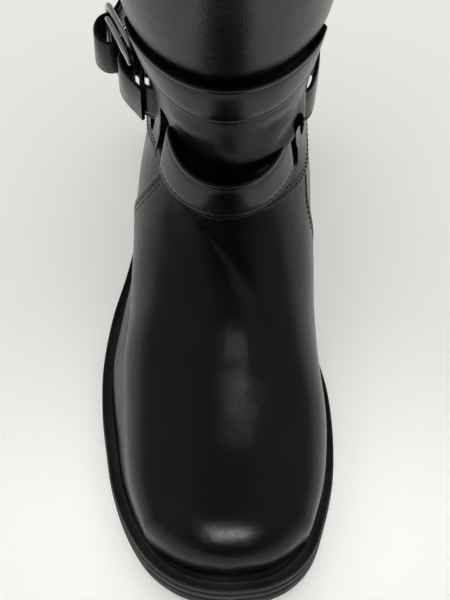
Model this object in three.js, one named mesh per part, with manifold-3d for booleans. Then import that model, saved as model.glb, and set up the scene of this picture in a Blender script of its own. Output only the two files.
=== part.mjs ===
// A right leather boot: a hollow upper on a welted rubber sole, with two straps and a double-ring buckle.
// Millimetres, +Z up. The origin is the middle of the heel's ground face. The toe points to -Y, and
// the big toe's side, the medial side, is +X.
import * as THREE from "three";
import Module from "manifold-3d";

const wasm = await Module();
wasm.setup();
const { Manifold, Mesh, CrossSection } = wasm;

// Driving sizes
const SOLE_LENGTH = 286;
const BALL_WIDTH = 108;
const HEEL_BACK = 35; // from the middle of the heel to the back of the sole
const HEEL_RISE = 30; // ground to the underside of the outsole at the heel
const TOE_SPRING = 8;
const FOREPART_THICK = 16;
const WAIST_THICK = 10;
const WELT_THICK = 3.4;
const WELT_LIP = 0.8;
const WELT_WIDTH = 11;
const INSOLE_THICK = 4.2;
const INSTEP_HEIGHT = 101; // ground to the break between vamp and shaft
const BOOT_HEIGHT = 270; // ground to the collar
const TOE_DOME = 24; // length of the rounded end of the toe box
const WALL = 2; // at the vamp
const PANEL = 1; // how far the shaft leather stands out over the vamp
const QUARTER_DROP = 0.7; // how far the quarter lies in under the vamp
const CLEAR = 0.5;

const STRAP_THICK = 2;
const STRAP_WIDTH = 24;
const STRAP_PLAY = 1.2; // air between a strap and the outside of the wall
const LINING_PLAY = 1.8; // and between a strap and the inside of the wall
const LOWER_STRAP_Z = 107;
const UPPER_STRAP_Z = 165;
const SLOT_WIDTH = 9.5;
const SLOT_PLAY = 5; // slot height beyond each edge of the strap

const RING_WIRE = 1.4; // radius of the ring's wire
const RING_REACH = 27.5; // from bar to bar
const RING_PLAY = 0.6;

const AROUND = 36; // points around the upper
const SOLE_STATIONS = 34; // cross rows along the sole

// Small numbers
const mix = (a, b, t) => a + (b - a) * t;
const clamp01 = (t) => Math.min(1, Math.max(0, t));
const ease = (t) => clamp01(t) ** 2 * (3 - 2 * clamp01(t));
const radians = (degrees) => (degrees * Math.PI) / 180;
const alongOf = (y) => (HEEL_BACK - y) / SOLE_LENGTH;
const yOf = (along) => HEEL_BACK - along * SOLE_LENGTH;

// Level 0 to 1 runs from the ground to the instep, level 1 to 2 from the instep to the collar.
function heightOf(level) {
  const shaft = BOOT_HEIGHT - INSTEP_HEIGHT;
  return level < 1 ? level * INSTEP_HEIGHT : INSTEP_HEIGHT + (level - 1) * shaft;
}

// Solids

// Makes a closed solid from points and triangles, whichever way round they were listed.
function solidFrom(points, triangles) {
  const build = (flip) =>
    new Manifold(
      new Mesh({
        numProp: 3,
        vertProperties: new Float32Array(points.flat()),
        triVerts: new Uint32Array(triangles.flatMap(([a, b, c]) => (flip ? [a, c, b] : [a, b, c]))),
      }),
    );
  const solid = build(false);
  return solid.volume() < 0 ? build(true) : solid;
}

// Triangles between successive closed rings of equal length.
function sleeve(rings, wrap = false) {
  const count = rings[0].length;
  const rows = wrap ? rings.length : rings.length - 1;
  const triangles = [];
  for (let r = 0; r < rows; r++) {
    const next = (r + 1) % rings.length;
    for (let i = 0; i < count; i++) {
      const j = (i + 1) % count;
      const [a, b] = [r * count + i, r * count + j];
      const [c, d] = [next * count + i, next * count + j];
      triangles.push([a, b, d], [a, d, c]);
    }
  }
  return triangles;
}

// A tube of rings with a fan over each end.
function tubeSolid(rings) {
  const count = rings[0].length;
  const points = rings.flat();
  const triangles = sleeve(rings);
  const middle = (ring) => [0, 1, 2].map((k) => ring.reduce((sum, p) => sum + p[k], 0) / ring.length);
  const first = points.push(middle(rings[0])) - 1;
  const last = points.push(middle(rings.at(-1))) - 1;
  const top = (rings.length - 1) * count;
  for (let i = 0; i < count; i++) {
    const j = (i + 1) % count;
    triangles.push([first, j, i], [last, top + i, top + j]);
  }
  return solidFrom(points, triangles);
}

// Rings whose points pair up across the sole, closed by a strip at the bottom and at the top.
function pairedSolid(rings) {
  const count = rings[0].length;
  const triangles = sleeve(rings);
  const strip = (base, flip) => {
    for (let i = 1; i <= count / 2; i++) {
      const quad = [base + i - 1, base + i, base + count - i, base + ((count - i + 1) % count)];
      const faces = [
        [quad[0], quad[1], quad[2]],
        [quad[0], quad[2], quad[3]],
      ];
      for (const [a, b, c] of faces) {
        if (a === b || b === c || a === c) continue;
        triangles.push(flip ? [a, c, b] : [a, b, c]);
      }
    }
  };
  strip(0, true);
  strip((rings.length - 1) * count, false);
  return solidFrom(rings.flat(), triangles);
}

// The outline of the sole. Lengths along it are shares of the sole's length from the back of the
// heel, lengths across it are shares of the ball's width.
const LATERAL_EDGE = [
  // along, side
  [0, 0],
  [0.014, -0.167],
  [0.059, -0.287],
  [0.122, -0.329],
  [0.199, -0.338],
  [0.28, -0.352],
  [0.36, -0.385],
  [0.427, -0.431],
  [0.497, -0.491],
  [0.577, -0.528],
  [0.654, -0.531],
  [0.734, -0.509],
  [0.818, -0.472],
  [0.89, -0.403],
  [0.944, -0.315],
  [0.981, -0.194],
  [0.997, -0.065],
  [1, 0.03],
];
const MEDIAL_EDGE = [
  // along, side
  [0, 0],
  [0.013, 0.157],
  [0.056, 0.273],
  [0.115, 0.315],
  [0.185, 0.319],
  [0.255, 0.319],
  [0.332, 0.324],
  [0.409, 0.338],
  [0.483, 0.366],
  [0.556, 0.403],
  [0.629, 0.449],
  [0.717, 0.469],
  [0.787, 0.463],
  [0.864, 0.426],
  [0.925, 0.375],
  [0.965, 0.296],
  [0.99, 0.185],
  [1, 0.03],
];

// A smooth line through an edge table, as many close points.
function edgeLine(table) {
  const points = table.map(([along, side]) => new THREE.Vector3(side * BALL_WIDTH, yOf(along), 0));
  return new THREE.CatmullRomCurve3(points, false, "centripetal").getPoints(400);
}
const lateralLine = edgeLine(LATERAL_EDGE);
const medialLine = edgeLine(MEDIAL_EDGE);

function sideAt(line, y) {
  const k = line.findIndex((p) => p.y <= y);
  if (k <= 0) return line.at(k).x;
  const share = (line[k - 1].y - y) / (line[k - 1].y - line[k].y);
  return mix(line[k - 1].x, line[k].x, share);
}

// The outline as a loop: down the lateral side from the heel to the last row, back up the medial side.
function outlineLoop(endAlong = 1, stations = SOLE_STATIONS) {
  const lateral = [];
  const medial = [];
  const whole = endAlong === 1;
  for (let k = 1; k < stations; k++) {
    const turn = whole ? Math.PI : Math.PI / 2;
    const share = (1 - Math.cos((turn * k) / stations)) / (whole ? 2 : 1);
    const y = yOf(share * endAlong);
    lateral.push([sideAt(lateralLine, y), y]);
    medial.unshift([sideAt(medialLine, y), y]);
  }
  const back = [0, HEEL_BACK];
  const tip = [lateralLine.at(-1).x, yOf(1)];
  if (whole) return [back, ...lateral, tip, ...medial];
  const y = yOf(endAlong);
  const breast = [sideAt(lateralLine, y), y];
  return [back, ...lateral, breast, [sideAt(medialLine, y), y], ...medial];
}

// Moves each side of a loop inward by the same depth, corners mitred.
function inset(loop, depth) {
  const count = loop.length;
  const inward = ([ax, ay], [bx, by]) => {
    const length = Math.hypot(bx - ax, by - ay);
    return [(ay - by) / length, (bx - ax) / length];
  };
  return loop.map((point, i) => {
    const before = inward(loop[(i + count - 1) % count], point);
    const after = inward(point, loop[(i + 1) % count]);
    const mitre = depth / (1 + before[0] * after[0] + before[1] * after[1]);
    return [point[0] + mitre * (before[0] + after[0]), point[1] + mitre * (before[1] + after[1])];
  });
}

// Side view of the sole: its underside, its thickness and its top at a place along it.
function underside(y) {
  const along = alongOf(y);
  const rise = HEEL_RISE * (1 - ease((along - 0.27) / 0.32));
  const spring = TOE_SPRING * clamp01((along - 0.74) / 0.26) ** 1.7;
  return rise + spring;
}
const thickness = (y) => mix(WAIST_THICK, FOREPART_THICK, ease((alongOf(y) - 0.36) / 0.22));
const soleTop = (y) => underside(y) + thickness(y);
const weltTop = (y) => soleTop(y) + CLEAR + WELT_THICK;

// Outsole: rows of inset from the outline and share of the thickness, from the ground up. The side
// wall has a bevelled tread edge, a shallow groove and a small step under the welt.
const OUTSOLE_WALL = [
  // inset, up
  [3, 0],
  [1.6, 0.07],
  [1, 0.2],
  [0.7, 0.52],
  [1.7, 0.56],
  [1.7, 0.64],
  [0.4, 0.68],
  [0, 0.94],
  [0.8, 1],
];
function outsole() {
  const loop = outlineLoop();
  const rings = OUTSOLE_WALL.map(([depth, up]) =>
    inset(loop, depth).map(([x, y]) => [x, y, underside(y) + up * thickness(y)]),
  );
  const grooves = TREAD_GROOVES.map((along) => {
    const bar = Manifold.cube([BALL_WIDTH * 1.4, GROOVE_WIDTH, 2 * GROOVE_DEPTH], true);
    return bar.translate([0, yOf(along), underside(yOf(along))]);
  });
  return Manifold.difference([pairedSolid(rings), ...grooves]);
}
const GROOVE_WIDTH = 4;
const GROOVE_DEPTH = 2;
const TREAD_GROOVES = [0.56, 0.63, 0.7, 0.77, 0.84]; // shares of the sole's length

// Heel: a block under the outsole with its own thin top piece, marked by a groove.
const HEEL_END = 0.25; // share of the sole's length
const HEEL_WALL = [
  // inset, up
  [4, 0],
  [3, 0.04],
  [2.6, 0.23],
  [3.4, 0.25],
  [3.4, 0.28],
  [2.4, 0.3],
  [1.4, 1],
];
function heel() {
  const loop = outlineLoop(HEEL_END, 18);
  const top = HEEL_RISE - CLEAR;
  const rings = HEEL_WALL.map(([depth, up]) => inset(loop, depth).map(([x, y]) => [x, y, up * top]));
  return pairedSolid(rings);
}

// Welt: a closed strip on the outsole, all round, with a lip along its outer edge.
function welt() {
  const loop = outlineLoop();
  const profile = [
    // inset, height above the outsole
    [0.8, 0],
    [0.2, 0.6],
    [0.2, WELT_THICK],
    [0.9, WELT_THICK + WELT_LIP],
    [1.8, WELT_THICK + WELT_LIP],
    [2.6, WELT_THICK],
    [WELT_WIDTH, WELT_THICK],
    [WELT_WIDTH, 0],
  ];
  const rings = profile.map(([depth, height]) =>
    inset(loop, depth).map(([x, y]) => [x, y, soleTop(y) + CLEAR + height]),
  );
  return solidFrom(rings.flat(), sleeve(rings, true));
}

// Insole: lies on the outsole inside the welt.
function insole() {
  const loop = outlineLoop();
  const edge = WELT_WIDTH + 3 * CLEAR;
  const rows = [
    [edge, 0],
    [edge, 0.85],
    [edge + 1, 1],
  ];
  const rings = rows.map(([depth, up]) =>
    inset(loop, depth).map(([x, y]) => [x, y, soleTop(y) + CLEAR + up * INSOLE_THICK]),
  );
  return pairedSolid(rings);
}

// Upper sections, from the toe box back and up to the collar. Each row is a slanted slice from a
// point on the front ridge to a point on the base or back line. Lengths along are shares of the
// sole's length, heights are levels, widths are shares of the ball's width. wide is the share of the
// way up from base to ridge where the slice is widest, and the round columns are how square it is.
const SECTIONS = [
  // ridgeAlong, ridgeLevel, baseAlong, baseLevel, lateral, medial, wide, ridgeRound, baseRound, ridgeSide
  [0.899, 0.574, 0.899, 0.139, 0.361, 0.361, 0.5, 2.5, 3, 0.02],
  [0.822, 0.634, 0.822, 0.099, 0.421, 0.407, 0.45, 2.4, 3, 0.025],
  [0.717, 0.693, 0.717, 0.079, 0.447, 0.419, 0.42, 2.3, 3, 0.03],
  [0.612, 0.782, 0.612, 0.079, 0.45, 0.394, 0.4, 2.15, 2.8, 0.025],
  [0.542, 0.881, 0.514, 0.079, 0.421, 0.38, 0.42, 2, 2.6, 0.02],
  [0.49, 1, 0.402, 0.139, 0.4, 0.38, 0.48, 1.9, 2.4, 0.01],
  [0.469, 1.041, 0.29, 0.238, 0.394, 0.375, 0.48, 1.85, 2.4, 0.01],
  [0.451, 1.095, 0.164, 0.317, 0.373, 0.37, 0.5, 1.85, 2.4, 0.01],
  [0.437, 1.16, 0.052, 0.356, 0.341, 0.347, 0.5, 1.95, 2.5, 0.01],
  [0.43, 1.219, 0.014, 0.574, 0.324, 0.343, 0.48, 2, 2.3, 0.01],
  [0.427, 1.29, 0.018, 0.871, 0.32, 0.34, 0.5, 2.05, 2.1, 0.01],
  [0.421, 1.385, 0.042, 1.112, 0.335, 0.364, 0.5, 2.05, 2.05, 0.01],
  [0.42, 1.485, 0.056, 1.32, 0.375, 0.389, 0.5, 2.05, 2.05, 0.01],
  [0.423, 1.615, 0.054, 1.527, 0.431, 0.44, 0.5, 2.1, 2.1, 0.01],
  [0.43, 1.793, 0.044, 1.751, 0.463, 0.468, 0.5, 2.1, 2.1, 0.01],
  [0.44, 2, 0.028, 2, 0.477, 0.482, 0.5, 2.1, 2.1, 0.01],
  [0.445, 2.13, 0.021, 2.13, 0.482, 0.486, 0.5, 2.1, 2.1, 0.01],
];
const ANKLE_ROW = 5; // the first row whose slice can be cut by a level ring
const TOE_TAPER = { width: 0.18, height: 0.3, round: 2.6 };
const TOE_STEPS = [0.99, 0.94, 0.85, 0.7, 0.5, 0.25]; // shares of the dome, from its end back

// One slice at a place between rows, smooth through them.
function sliceAt(place) {
  const k = Math.min(SECTIONS.length - 2, Math.floor(place));
  const t = place - k;
  const row = (i) => SECTIONS[Math.min(SECTIONS.length - 1, Math.max(0, i))];
  const [before, from, to, after] = [row(k - 1), row(k), row(k + 1), row(k + 2)];
  const v = from.map((value, c) => {
    const slopeIn = (to[c] - before[c]) / 2;
    const slopeOut = (after[c] - value) / 2;
    const bend = 3 * (to[c] - value) - 2 * slopeIn - slopeOut;
    const twist = 2 * (value - to[c]) + slopeIn + slopeOut;
    return value + t * (slopeIn + t * (bend + t * twist));
  });
  return {
    ridge: [yOf(v[0]), heightOf(v[1])],
    base: [yOf(v[2]), heightOf(v[3])],
    lateral: v[4] * BALL_WIDTH,
    medial: v[5] * BALL_WIDTH,
    wide: v[6],
    ridgeRound: v[7],
    baseRound: v[8],
    ridgeSide: v[9] * BALL_WIDTH,
  };
}

// The rounded end of the toe box is the first slice, shrunk about its widest level.
function toeSlice(share) {
  const slice = sliceAt(0);
  const round = (1 - share ** TOE_TAPER.round) ** (1 / TOE_TAPER.round);
  const narrow = (1 - TOE_TAPER.width * share) * round;
  const low = (1 - TOE_TAPER.height * share) * round;
  const middle = mix(slice.base[1], slice.ridge[1], slice.wide);
  const y = slice.ridge[0] - TOE_DOME * share;
  return {
    ...slice,
    ridge: [y, mix(middle, slice.ridge[1], low)],
    base: [y, mix(middle, slice.base[1], low)],
    lateral: slice.lateral * narrow,
    medial: slice.medial * narrow,
  };
}

// A point on a slice. Turn 0 is the ridge, pi is the base, and the medial side comes between.
function onSlice(slice, turn) {
  const [c, s] = [Math.cos(turn), Math.sin(turn)];
  const front = c >= 0;
  const power = 2 / (front ? slice.ridgeRound : slice.baseRound);
  const reach = Math.abs(c) ** power;
  const r = front ? mix(slice.wide, 1, reach) : mix(slice.wide, 0, reach);
  const half = (s > 0 ? slice.medial : slice.lateral) * Math.abs(s) ** power;
  return [
    slice.ridgeSide * r + Math.sign(s) * half,
    mix(slice.base[0], slice.ridge[0], r),
    mix(slice.base[1], slice.ridge[1], r),
  ];
}

// Where the upper meets the welt it follows the sole's outline, SEAT_INSET inside it.
const SEAT_INSET = 7.5;
const SEAT_BLEND = 22; // the height over which the slices take over from the outline
const HEEL_ROWS = [8.2, 8.9]; // the heel's round back is left to the slices alone

// How much wider or narrower a slice must be where it meets the welt, for one side of the boot.
function seatRatio(slice, side) {
  const above = (turn) => {
    const [, y, z] = onSlice(slice, turn);
    return z > weltTop(y);
  };
  let [high, low] = [Math.PI / 2, Math.PI];
  if (above(low) || !above(high)) return 1;
  for (let step = 0; step < 20; step++) {
    const half = (high + low) / 2;
    if (above(half)) high = half;
    else low = half;
  }
  const [, y] = onSlice(slice, high);
  const x = onSlice(slice, side * high)[0];
  const edge = sideAt(side > 0 ? medialLine : lateralLine, y);
  return (Math.abs(edge) - SEAT_INSET) / Math.abs(x);
}

// A slice as a ring of points, seated on the welt by a share from 0 to 1.
function ringOf(slice, share) {
  const ratio = { 1: seatRatio(slice, 1), "-1": seatRatio(slice, -1) };
  return Array.from({ length: AROUND }, (_, i) => {
    const turn = (2 * Math.PI * i) / AROUND;
    const [x, y, z] = onSlice(slice, turn);
    const near = share * (1 - ease((z - weltTop(y)) / SEAT_BLEND));
    return [x * mix(1, ratio[x < 0 ? -1 : 1], near), y, z];
  });
}

const ROW_STEP = 2 / 3;
function upperRings() {
  const toe = TOE_STEPS.map((share) => ringOf(toeSlice(share), 1 - ease((share - 0.6) / 0.4)));
  const rows = SECTIONS.length - 1;
  const steps = Math.round(rows / ROW_STEP);
  const [from, to] = HEEL_ROWS;
  const rest = Array.from({ length: steps + 1 }, (_, k) => {
    const place = (rows * k) / steps;
    return ringOf(sliceAt(place), 1 - ease((place - from) / (to - from)));
  });
  return [...toe, ...rest];
}

// Moves a grid of rings out along its own normals.
function swollen(rings, depth) {
  const count = AROUND;
  return rings.map((ring, r) =>
    ring.map((point, i) => {
      const around = new THREE.Vector3(...ring[(i + 1) % count]).sub(
        new THREE.Vector3(...ring[(i + count - 1) % count]),
      );
      const after = rings[Math.min(rings.length - 1, r + 1)][i];
      const before = rings[Math.max(0, r - 1)][i];
      const onward = new THREE.Vector3(...after).sub(new THREE.Vector3(...before));
      const normal = around.cross(onward).normalize();
      return [point[0] + depth * normal.x, point[1] + depth * normal.y, point[2] + depth * normal.z];
    }),
  );
}

// A side-view outline, y and z, pushed right through the boot.
function sidePrism(outline) {
  const turned = new THREE.Matrix4().makeBasis(
    new THREE.Vector3(0, 1, 0),
    new THREE.Vector3(0, 0, 1),
    new THREE.Vector3(1, 0, 0),
  );
  const flat = new CrossSection([outline], "EvenOdd");
  return flat.extrude(2 * BALL_WIDTH, 0, 0, [1, 1], true).transform(turned.elements);
}

// Cut edges of the leather, as seen from each side, from the front or top on.
const SHAFT_EDGE = {
  lateral: [
    // along, level
    [0.56, 1.018],
    [0.465, 1.018],
    [0.416, 1.024],
    [0.374, 1.015],
    [0.346, 1.006],
    [0.322, 0.974],
    [0.294, 0.924],
    [0.248, 0.881],
    [0.175, 0.856],
    [-0.1, 0.851],
  ],
  medial: [
    // along, level
    [0.56, 1.018],
    [0.472, 1.018],
    [0.441, 1],
    [0.406, 0.953],
    [0.374, 0.914],
    [0.332, 0.884],
    [0.262, 0.864],
    [0.175, 0.856],
    [-0.1, 0.851],
  ],
};
const VAMP_EDGE = {
  lateral: [
    // along, level
    [0.385, 1.065],
    [0.385, 1],
    [0.382, 0.871],
    [0.376, 0.772],
    [0.365, 0.653],
    [0.353, 0.515],
    [0.346, 0.376],
    [0.346, 0.05],
  ],
  medial: [
    // along, level
    [0.297, 1.018],
    [0.332, 0.941],
    [0.358, 0.886],
    [0.378, 0.842],
    [0.392, 0.777],
    [0.402, 0.693],
    [0.409, 0.545],
    [0.409, 0.396],
    [0.406, 0.05],
  ],
};
const EDGE_POINTS = 12;

// The part of a form on one side of a cut edge. The outline is closed through far side-view corners.
function cutForm(form, edges, corners) {
  const cut = (side, table) => {
    const points = table.map(([along, level]) => new THREE.Vector3(0, yOf(along), heightOf(level)));
    const line = new THREE.CatmullRomCurve3(points, false, "centripetal").getPoints(EDGE_POINTS);
    const size = [BALL_WIDTH, 2 * SOLE_LENGTH, 2 * BOOT_HEIGHT * FAR];
    const half = Manifold.cube(size, true).translate([side * (BALL_WIDTH / 2 - CLEAR), 0, 0]);
    return form.intersect(sidePrism([...line.map((p) => [p.y, p.z]), ...corners])).intersect(half);
  };
  return cut(-1, edges.lateral).add(cut(1, edges.medial));
}
const FAR = 1.3; // share of a size that is surely past the boot

function upper() {
  const rings = upperRings();
  const quarterForm = tubeSolid(swollen(rings, -QUARTER_DROP));
  const vampForm = tubeSolid(rings);
  const shaftForm = tubeSolid(swollen(rings, PANEL));
  const inside = tubeSolid(swollen(rings, -WALL));
  const overTop = BOOT_HEIGHT * FAR;
  const ahead = yOf(FAR);
  const shaft = cutForm(shaftForm, SHAFT_EDGE, [
    [yOf(SHAFT_EDGE.lateral.at(-1)[0]), overTop],
    [yOf(SHAFT_EDGE.lateral[0][0]), overTop],
  ]);
  const vamp = cutForm(vampForm, VAMP_EDGE, [
    [ahead, 0],
    [ahead, heightOf(VAMP_EDGE.medial[0][1])],
  ]);
  const places = Array.from({ length: 61 }, (_, k) => yOf(-0.1 + (1.2 * k) / 60));
  const underFoot = sidePrism([
    ...places.map((y) => [y, weltTop(y) + CLEAR]),
    [places.at(-1), -BOOT_HEIGHT],
    [places[0], -BOOT_HEIGHT],
  ]);
  const room = [2 * BALL_WIDTH, 2 * SOLE_LENGTH, BOOT_HEIGHT];
  const aboveCollar = Manifold.cube(room, true).translate([0, 0, 1.5 * BOOT_HEIGHT]);
  const outside = Manifold.union([quarterForm, vamp, shaft]);
  return Manifold.difference([outside, inside, underFoot, aboveCollar, ...slots()]);
}

// Level rings of the upper, for the straps and their slots.
const SHAFT_AXIS = { x: 0.01 * BALL_WIDTH, y: yOf(0.245) };

function levelRing(z) {
  const count = 120;
  return Array.from({ length: count }, (_, i) => {
    const turn = (2 * Math.PI * i) / count;
    let [low, high] = [ANKLE_ROW, SECTIONS.length - 1];
    for (let step = 0; step < 24; step++) {
      const half = (low + high) / 2;
      if (onSlice(sliceAt(half), turn)[2] < z) low = half;
      else high = half;
    }
    return onSlice(sliceAt(low), turn);
  });
}

// The bearing of a point round the shaft: 0 at the front, positive on the medial side.
const bearingOf = ([x, y]) => Math.atan2(x - SHAFT_AXIS.x, SHAFT_AXIS.y - y);

// A point of a level ring at a bearing in degrees, and the way out from it.
function onRing(ring, degrees) {
  const target = radians(degrees);
  const count = ring.length;
  const gap = (p) => Math.atan2(Math.sin(bearingOf(p) - target), Math.cos(bearingOf(p) - target));
  const k = ring.findIndex((p, i) => {
    const next = ring[(i + 1) % count];
    return gap(p) <= 0 && gap(next) > 0 && gap(next) - gap(p) < 1;
  });
  const [a, b] = [ring[k], ring[(k + 1) % count]];
  const share = -gap(a) / (gap(b) - gap(a));
  const wide = [ring[(k + count - 2) % count], ring[(k + 3) % count]];
  const length = Math.hypot(wide[1][0] - wide[0][0], wide[1][1] - wide[0][1]);
  return {
    at: [mix(a[0], b[0], share), mix(a[1], b[1], share), a[2]],
    out: [-(wide[0][1] - wide[1][1]) / length, (wide[0][0] - wide[1][0]) / length],
  };
}

// Where each strap goes in and out of the wall, as bearings of slot middles. The strap is outside
// across the front, passes behind a bridge of leather on each side, and is outside again behind it.
const LOWER_SLOTS = { lateral: [-40.5, -66], medial: [40.5, 63] };
const UPPER_SLOTS = { lateral: [-74, -104], medial: [68, 98] };

const NEAR_SLOT = STRAP_WIDTH * 0.375; // how far up and down a slot's slant is taken
function slot(z, degrees) {
  const middle = z + STRAP_WIDTH / 2;
  const { at, out } = onRing(levelRing(middle), degrees);
  const above = onRing(levelRing(middle + NEAR_SLOT), degrees).at;
  const below = onRing(levelRing(middle - NEAR_SLOT), degrees).at;
  const up = new THREE.Vector3(...above).sub(new THREE.Vector3(...below)).normalize();
  const sideways = new THREE.Vector3(out[0], out[1], 0).cross(up).normalize();
  const outward = up.clone().cross(sideways).normalize();
  const height = STRAP_WIDTH + 2 * SLOT_PLAY;
  const reach = (height - SLOT_WIDTH) / 2;
  const deep = 16;
  const end = Manifold.cylinder(deep, SLOT_WIDTH / 2, SLOT_WIDTH / 2, 16, true);
  const oblong = Manifold.hull([end.translate([0, reach, 0]), end.translate([0, -reach, 0])]);
  const place = new THREE.Matrix4().makeBasis(sideways.clone(), up, outward);
  if (place.determinant() < 0) place.makeBasis(sideways.negate(), up, outward);
  place.setPosition(...at);
  return oblong.transform(place.elements);
}

function slots() {
  const at = (z, { lateral, medial }) => [...lateral, ...medial].map((degrees) => slot(z, degrees));
  return [...at(LOWER_STRAP_Z, LOWER_SLOTS), ...at(UPPER_STRAP_Z, UPPER_SLOTS)];
}

// Straps

const OUTSIDE = PANEL + STRAP_PLAY + STRAP_THICK / 2;
const INSIDE = -(WALL + LINING_PLAY + STRAP_THICK / 2);

// Half the angle that a slot takes up at a bearing.
function slotHalf(ring, degrees) {
  const { at } = onRing(ring, degrees);
  const radius = Math.hypot(at[0] - SHAFT_AXIS.x, at[1] - SHAFT_AXIS.y);
  return THREE.MathUtils.radToDeg(SLOT_WIDTH / 2 / radius);
}

// Runs along the wall from one bearing to another. stand gives how far the strap stands off the
// wall at a bearing, and lean how much further its top edge does.
function wallRun(z, bearings, stand, lean) {
  const low = levelRing(z);
  const high = levelRing(z + STRAP_WIDTH);
  return bearings.map((degrees) => {
    const foot = onRing(low, degrees);
    const head = onRing(high, degrees);
    const shift = ({ at, out }, by) => [at[0] + out[0] * by, at[1] + out[1] * by, at[2]];
    return {
      low: shift(foot, stand(degrees)),
      high: shift(head, stand(degrees) + lean(degrees)),
    };
  });
}

// Evenly spaced bearings, closer through a slot.
function bearings(from, to, step) {
  const count = Math.ceil(Math.abs(to - from) / step);
  return Array.from({ length: count + 1 }, (_, i) => mix(from, to, i / count));
}

// A flat band through pairs of edge points, closed into a loop or capped at its ends.
function band(pairs, loop) {
  const count = pairs.length;
  const rings = pairs.map(({ low, high }, i) => {
    const before = pairs[loop ? (i + count - 1) % count : Math.max(0, i - 1)];
    const after = pairs[loop ? (i + 1) % count : Math.min(count - 1, i + 1)];
    const side = (a, b, p, by) => {
      const length = Math.hypot(b[0] - a[0], b[1] - a[1]);
      return [p[0] + (by * (b[1] - a[1])) / length, p[1] - (by * (b[0] - a[0])) / length, p[2]];
    };
    const half = STRAP_THICK / 2;
    return [
      side(before.low, after.low, low, half),
      side(before.high, after.high, high, half),
      side(before.high, after.high, high, -half),
      side(before.low, after.low, low, -half),
    ];
  });
  const triangles = sleeve(rings, loop);
  if (!loop) {
    const last = (count - 1) * 4;
    triangles.push([0, 2, 1], [0, 3, 2], [last, last + 1, last + 2], [last, last + 2, last + 3]);
  }
  return solidFrom(rings.flat(), triangles);
}

// How far in or out a strap is at a bearing, given the slots it has passed.
function weave(ring, { lateral, medial }, standOff) {
  const cross = (degrees, slotBearing) => {
    const half = 0.88 * slotHalf(ring, slotBearing);
    return ease((Math.abs(degrees) - Math.abs(slotBearing) + half) / (2 * half));
  };
  return (degrees) => {
    const [first, second] = degrees < 0 ? lateral : medial;
    const inward = cross(degrees, first);
    const outward = cross(degrees, second);
    return mix(mix(OUTSIDE, INSIDE, inward), OUTSIDE + standOff(degrees) * outward, outward);
  };
}

const FRONT_LEAN = { lower: 9, upper: -1.2 }; // how far a top edge stands off at the front
const FRONT_SLACK = 2.6; // how far the upper strap as a whole stands off at the front

function upperStrap() {
  const ring = levelRing(UPPER_STRAP_Z);
  const off = (degrees) => 3 * ease((Math.abs(degrees) - 95) / 20) * ease((180 - Math.abs(degrees)) / 60);
  const woven = weave(ring, UPPER_SLOTS, off);
  const stand = (degrees) => woven(degrees) + FRONT_SLACK * ease(1 - Math.abs(degrees) / 55);
  const lean = (degrees) => FRONT_LEAN.upper * ease(1 - Math.abs(degrees) / 60);
  const all = bearings(-180, 180, 3.75).slice(0, -1);
  return band(wallRun(UPPER_STRAP_Z, all, stand, lean), true);
}

// Ring buckle: two rings whose front bars share a fold of the strap on the lateral side.
const RING_ANGLE = 24; // how far the rings splay out from the shaft, in degrees
const FRONT_BAR = { x: -0.395 * BALL_WIDTH, y: yOf(0.25) };
const RING_STEP = { along: 0.262 * RING_REACH, inward: 0.124 * RING_REACH }; // to the inner ring

const ringAlong = [-Math.sin(radians(RING_ANGLE)), Math.cos(radians(RING_ANGLE))];
const ringOut = [-ringAlong[1], ringAlong[0]];
// A place given along the rings from the outer ring's front bar, and outward from it.
const byRing = (along, out) => [
  FRONT_BAR.x + along * ringAlong[0] + out * ringOut[0],
  FRONT_BAR.y + along * ringAlong[1] + out * ringOut[1],
];

function ring(start, out) {
  const half = STRAP_WIDTH / 2 + RING_WIRE + RING_PLAY;
  const middle = LOWER_STRAP_Z + STRAP_WIDTH / 2;
  const bend = 3;
  const outline = new THREE.CurvePath();
  const corner = (u, v) => {
    const [x, y] = byRing(start + u, out);
    return new THREE.Vector3(x, y, middle + v);
  };
  const corners = [
    [0, -half],
    [RING_REACH, -half],
    [RING_REACH, half],
    [0, half],
  ];
  const toward = ([u, v], [p, q]) => {
    const length = Math.hypot(p - u, q - v);
    return corner(u + ((p - u) * bend) / length, v + ((q - v) * bend) / length);
  };
  corners.forEach((here, i) => {
    const before = corners[(i + 3) % 4];
    const after = corners[(i + 1) % 4];
    outline.add(new THREE.QuadraticBezierCurve3(toward(here, before), corner(...here), toward(here, after)));
    outline.add(new THREE.LineCurve3(toward(here, after), toward(after, here)));
  });
  return wireLoop(outline.curves.flatMap((curve) => curve.getPoints(curve.isLineCurve3 ? 1 : 4).slice(0, -1)));
}

// A round wire along a flat closed loop of points.
function wireLoop(path) {
  const sides = 8;
  const middle = path.reduce((sum, p) => sum.add(p), new THREE.Vector3()).divideScalar(path.length);
  const face = new THREE.Vector3()
    .subVectors(path[0], middle)
    .cross(new THREE.Vector3().subVectors(path[Math.floor(path.length / 4)], middle))
    .normalize();
  const rings = path.map((point, i) => {
    const before = path[(i + path.length - 1) % path.length];
    const after = path[(i + 1) % path.length];
    const away = new THREE.Vector3().subVectors(after, before).cross(face).normalize();
    return Array.from({ length: sides }, (_, k) => {
      const turn = (2 * Math.PI * k) / sides;
      return point
        .clone()
        .addScaledVector(away, RING_WIRE * Math.cos(turn))
        .addScaledVector(face, RING_WIRE * Math.sin(turn))
        .toArray();
    });
  });
  return solidFrom(rings.flat(), sleeve(rings, true));
}

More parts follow.
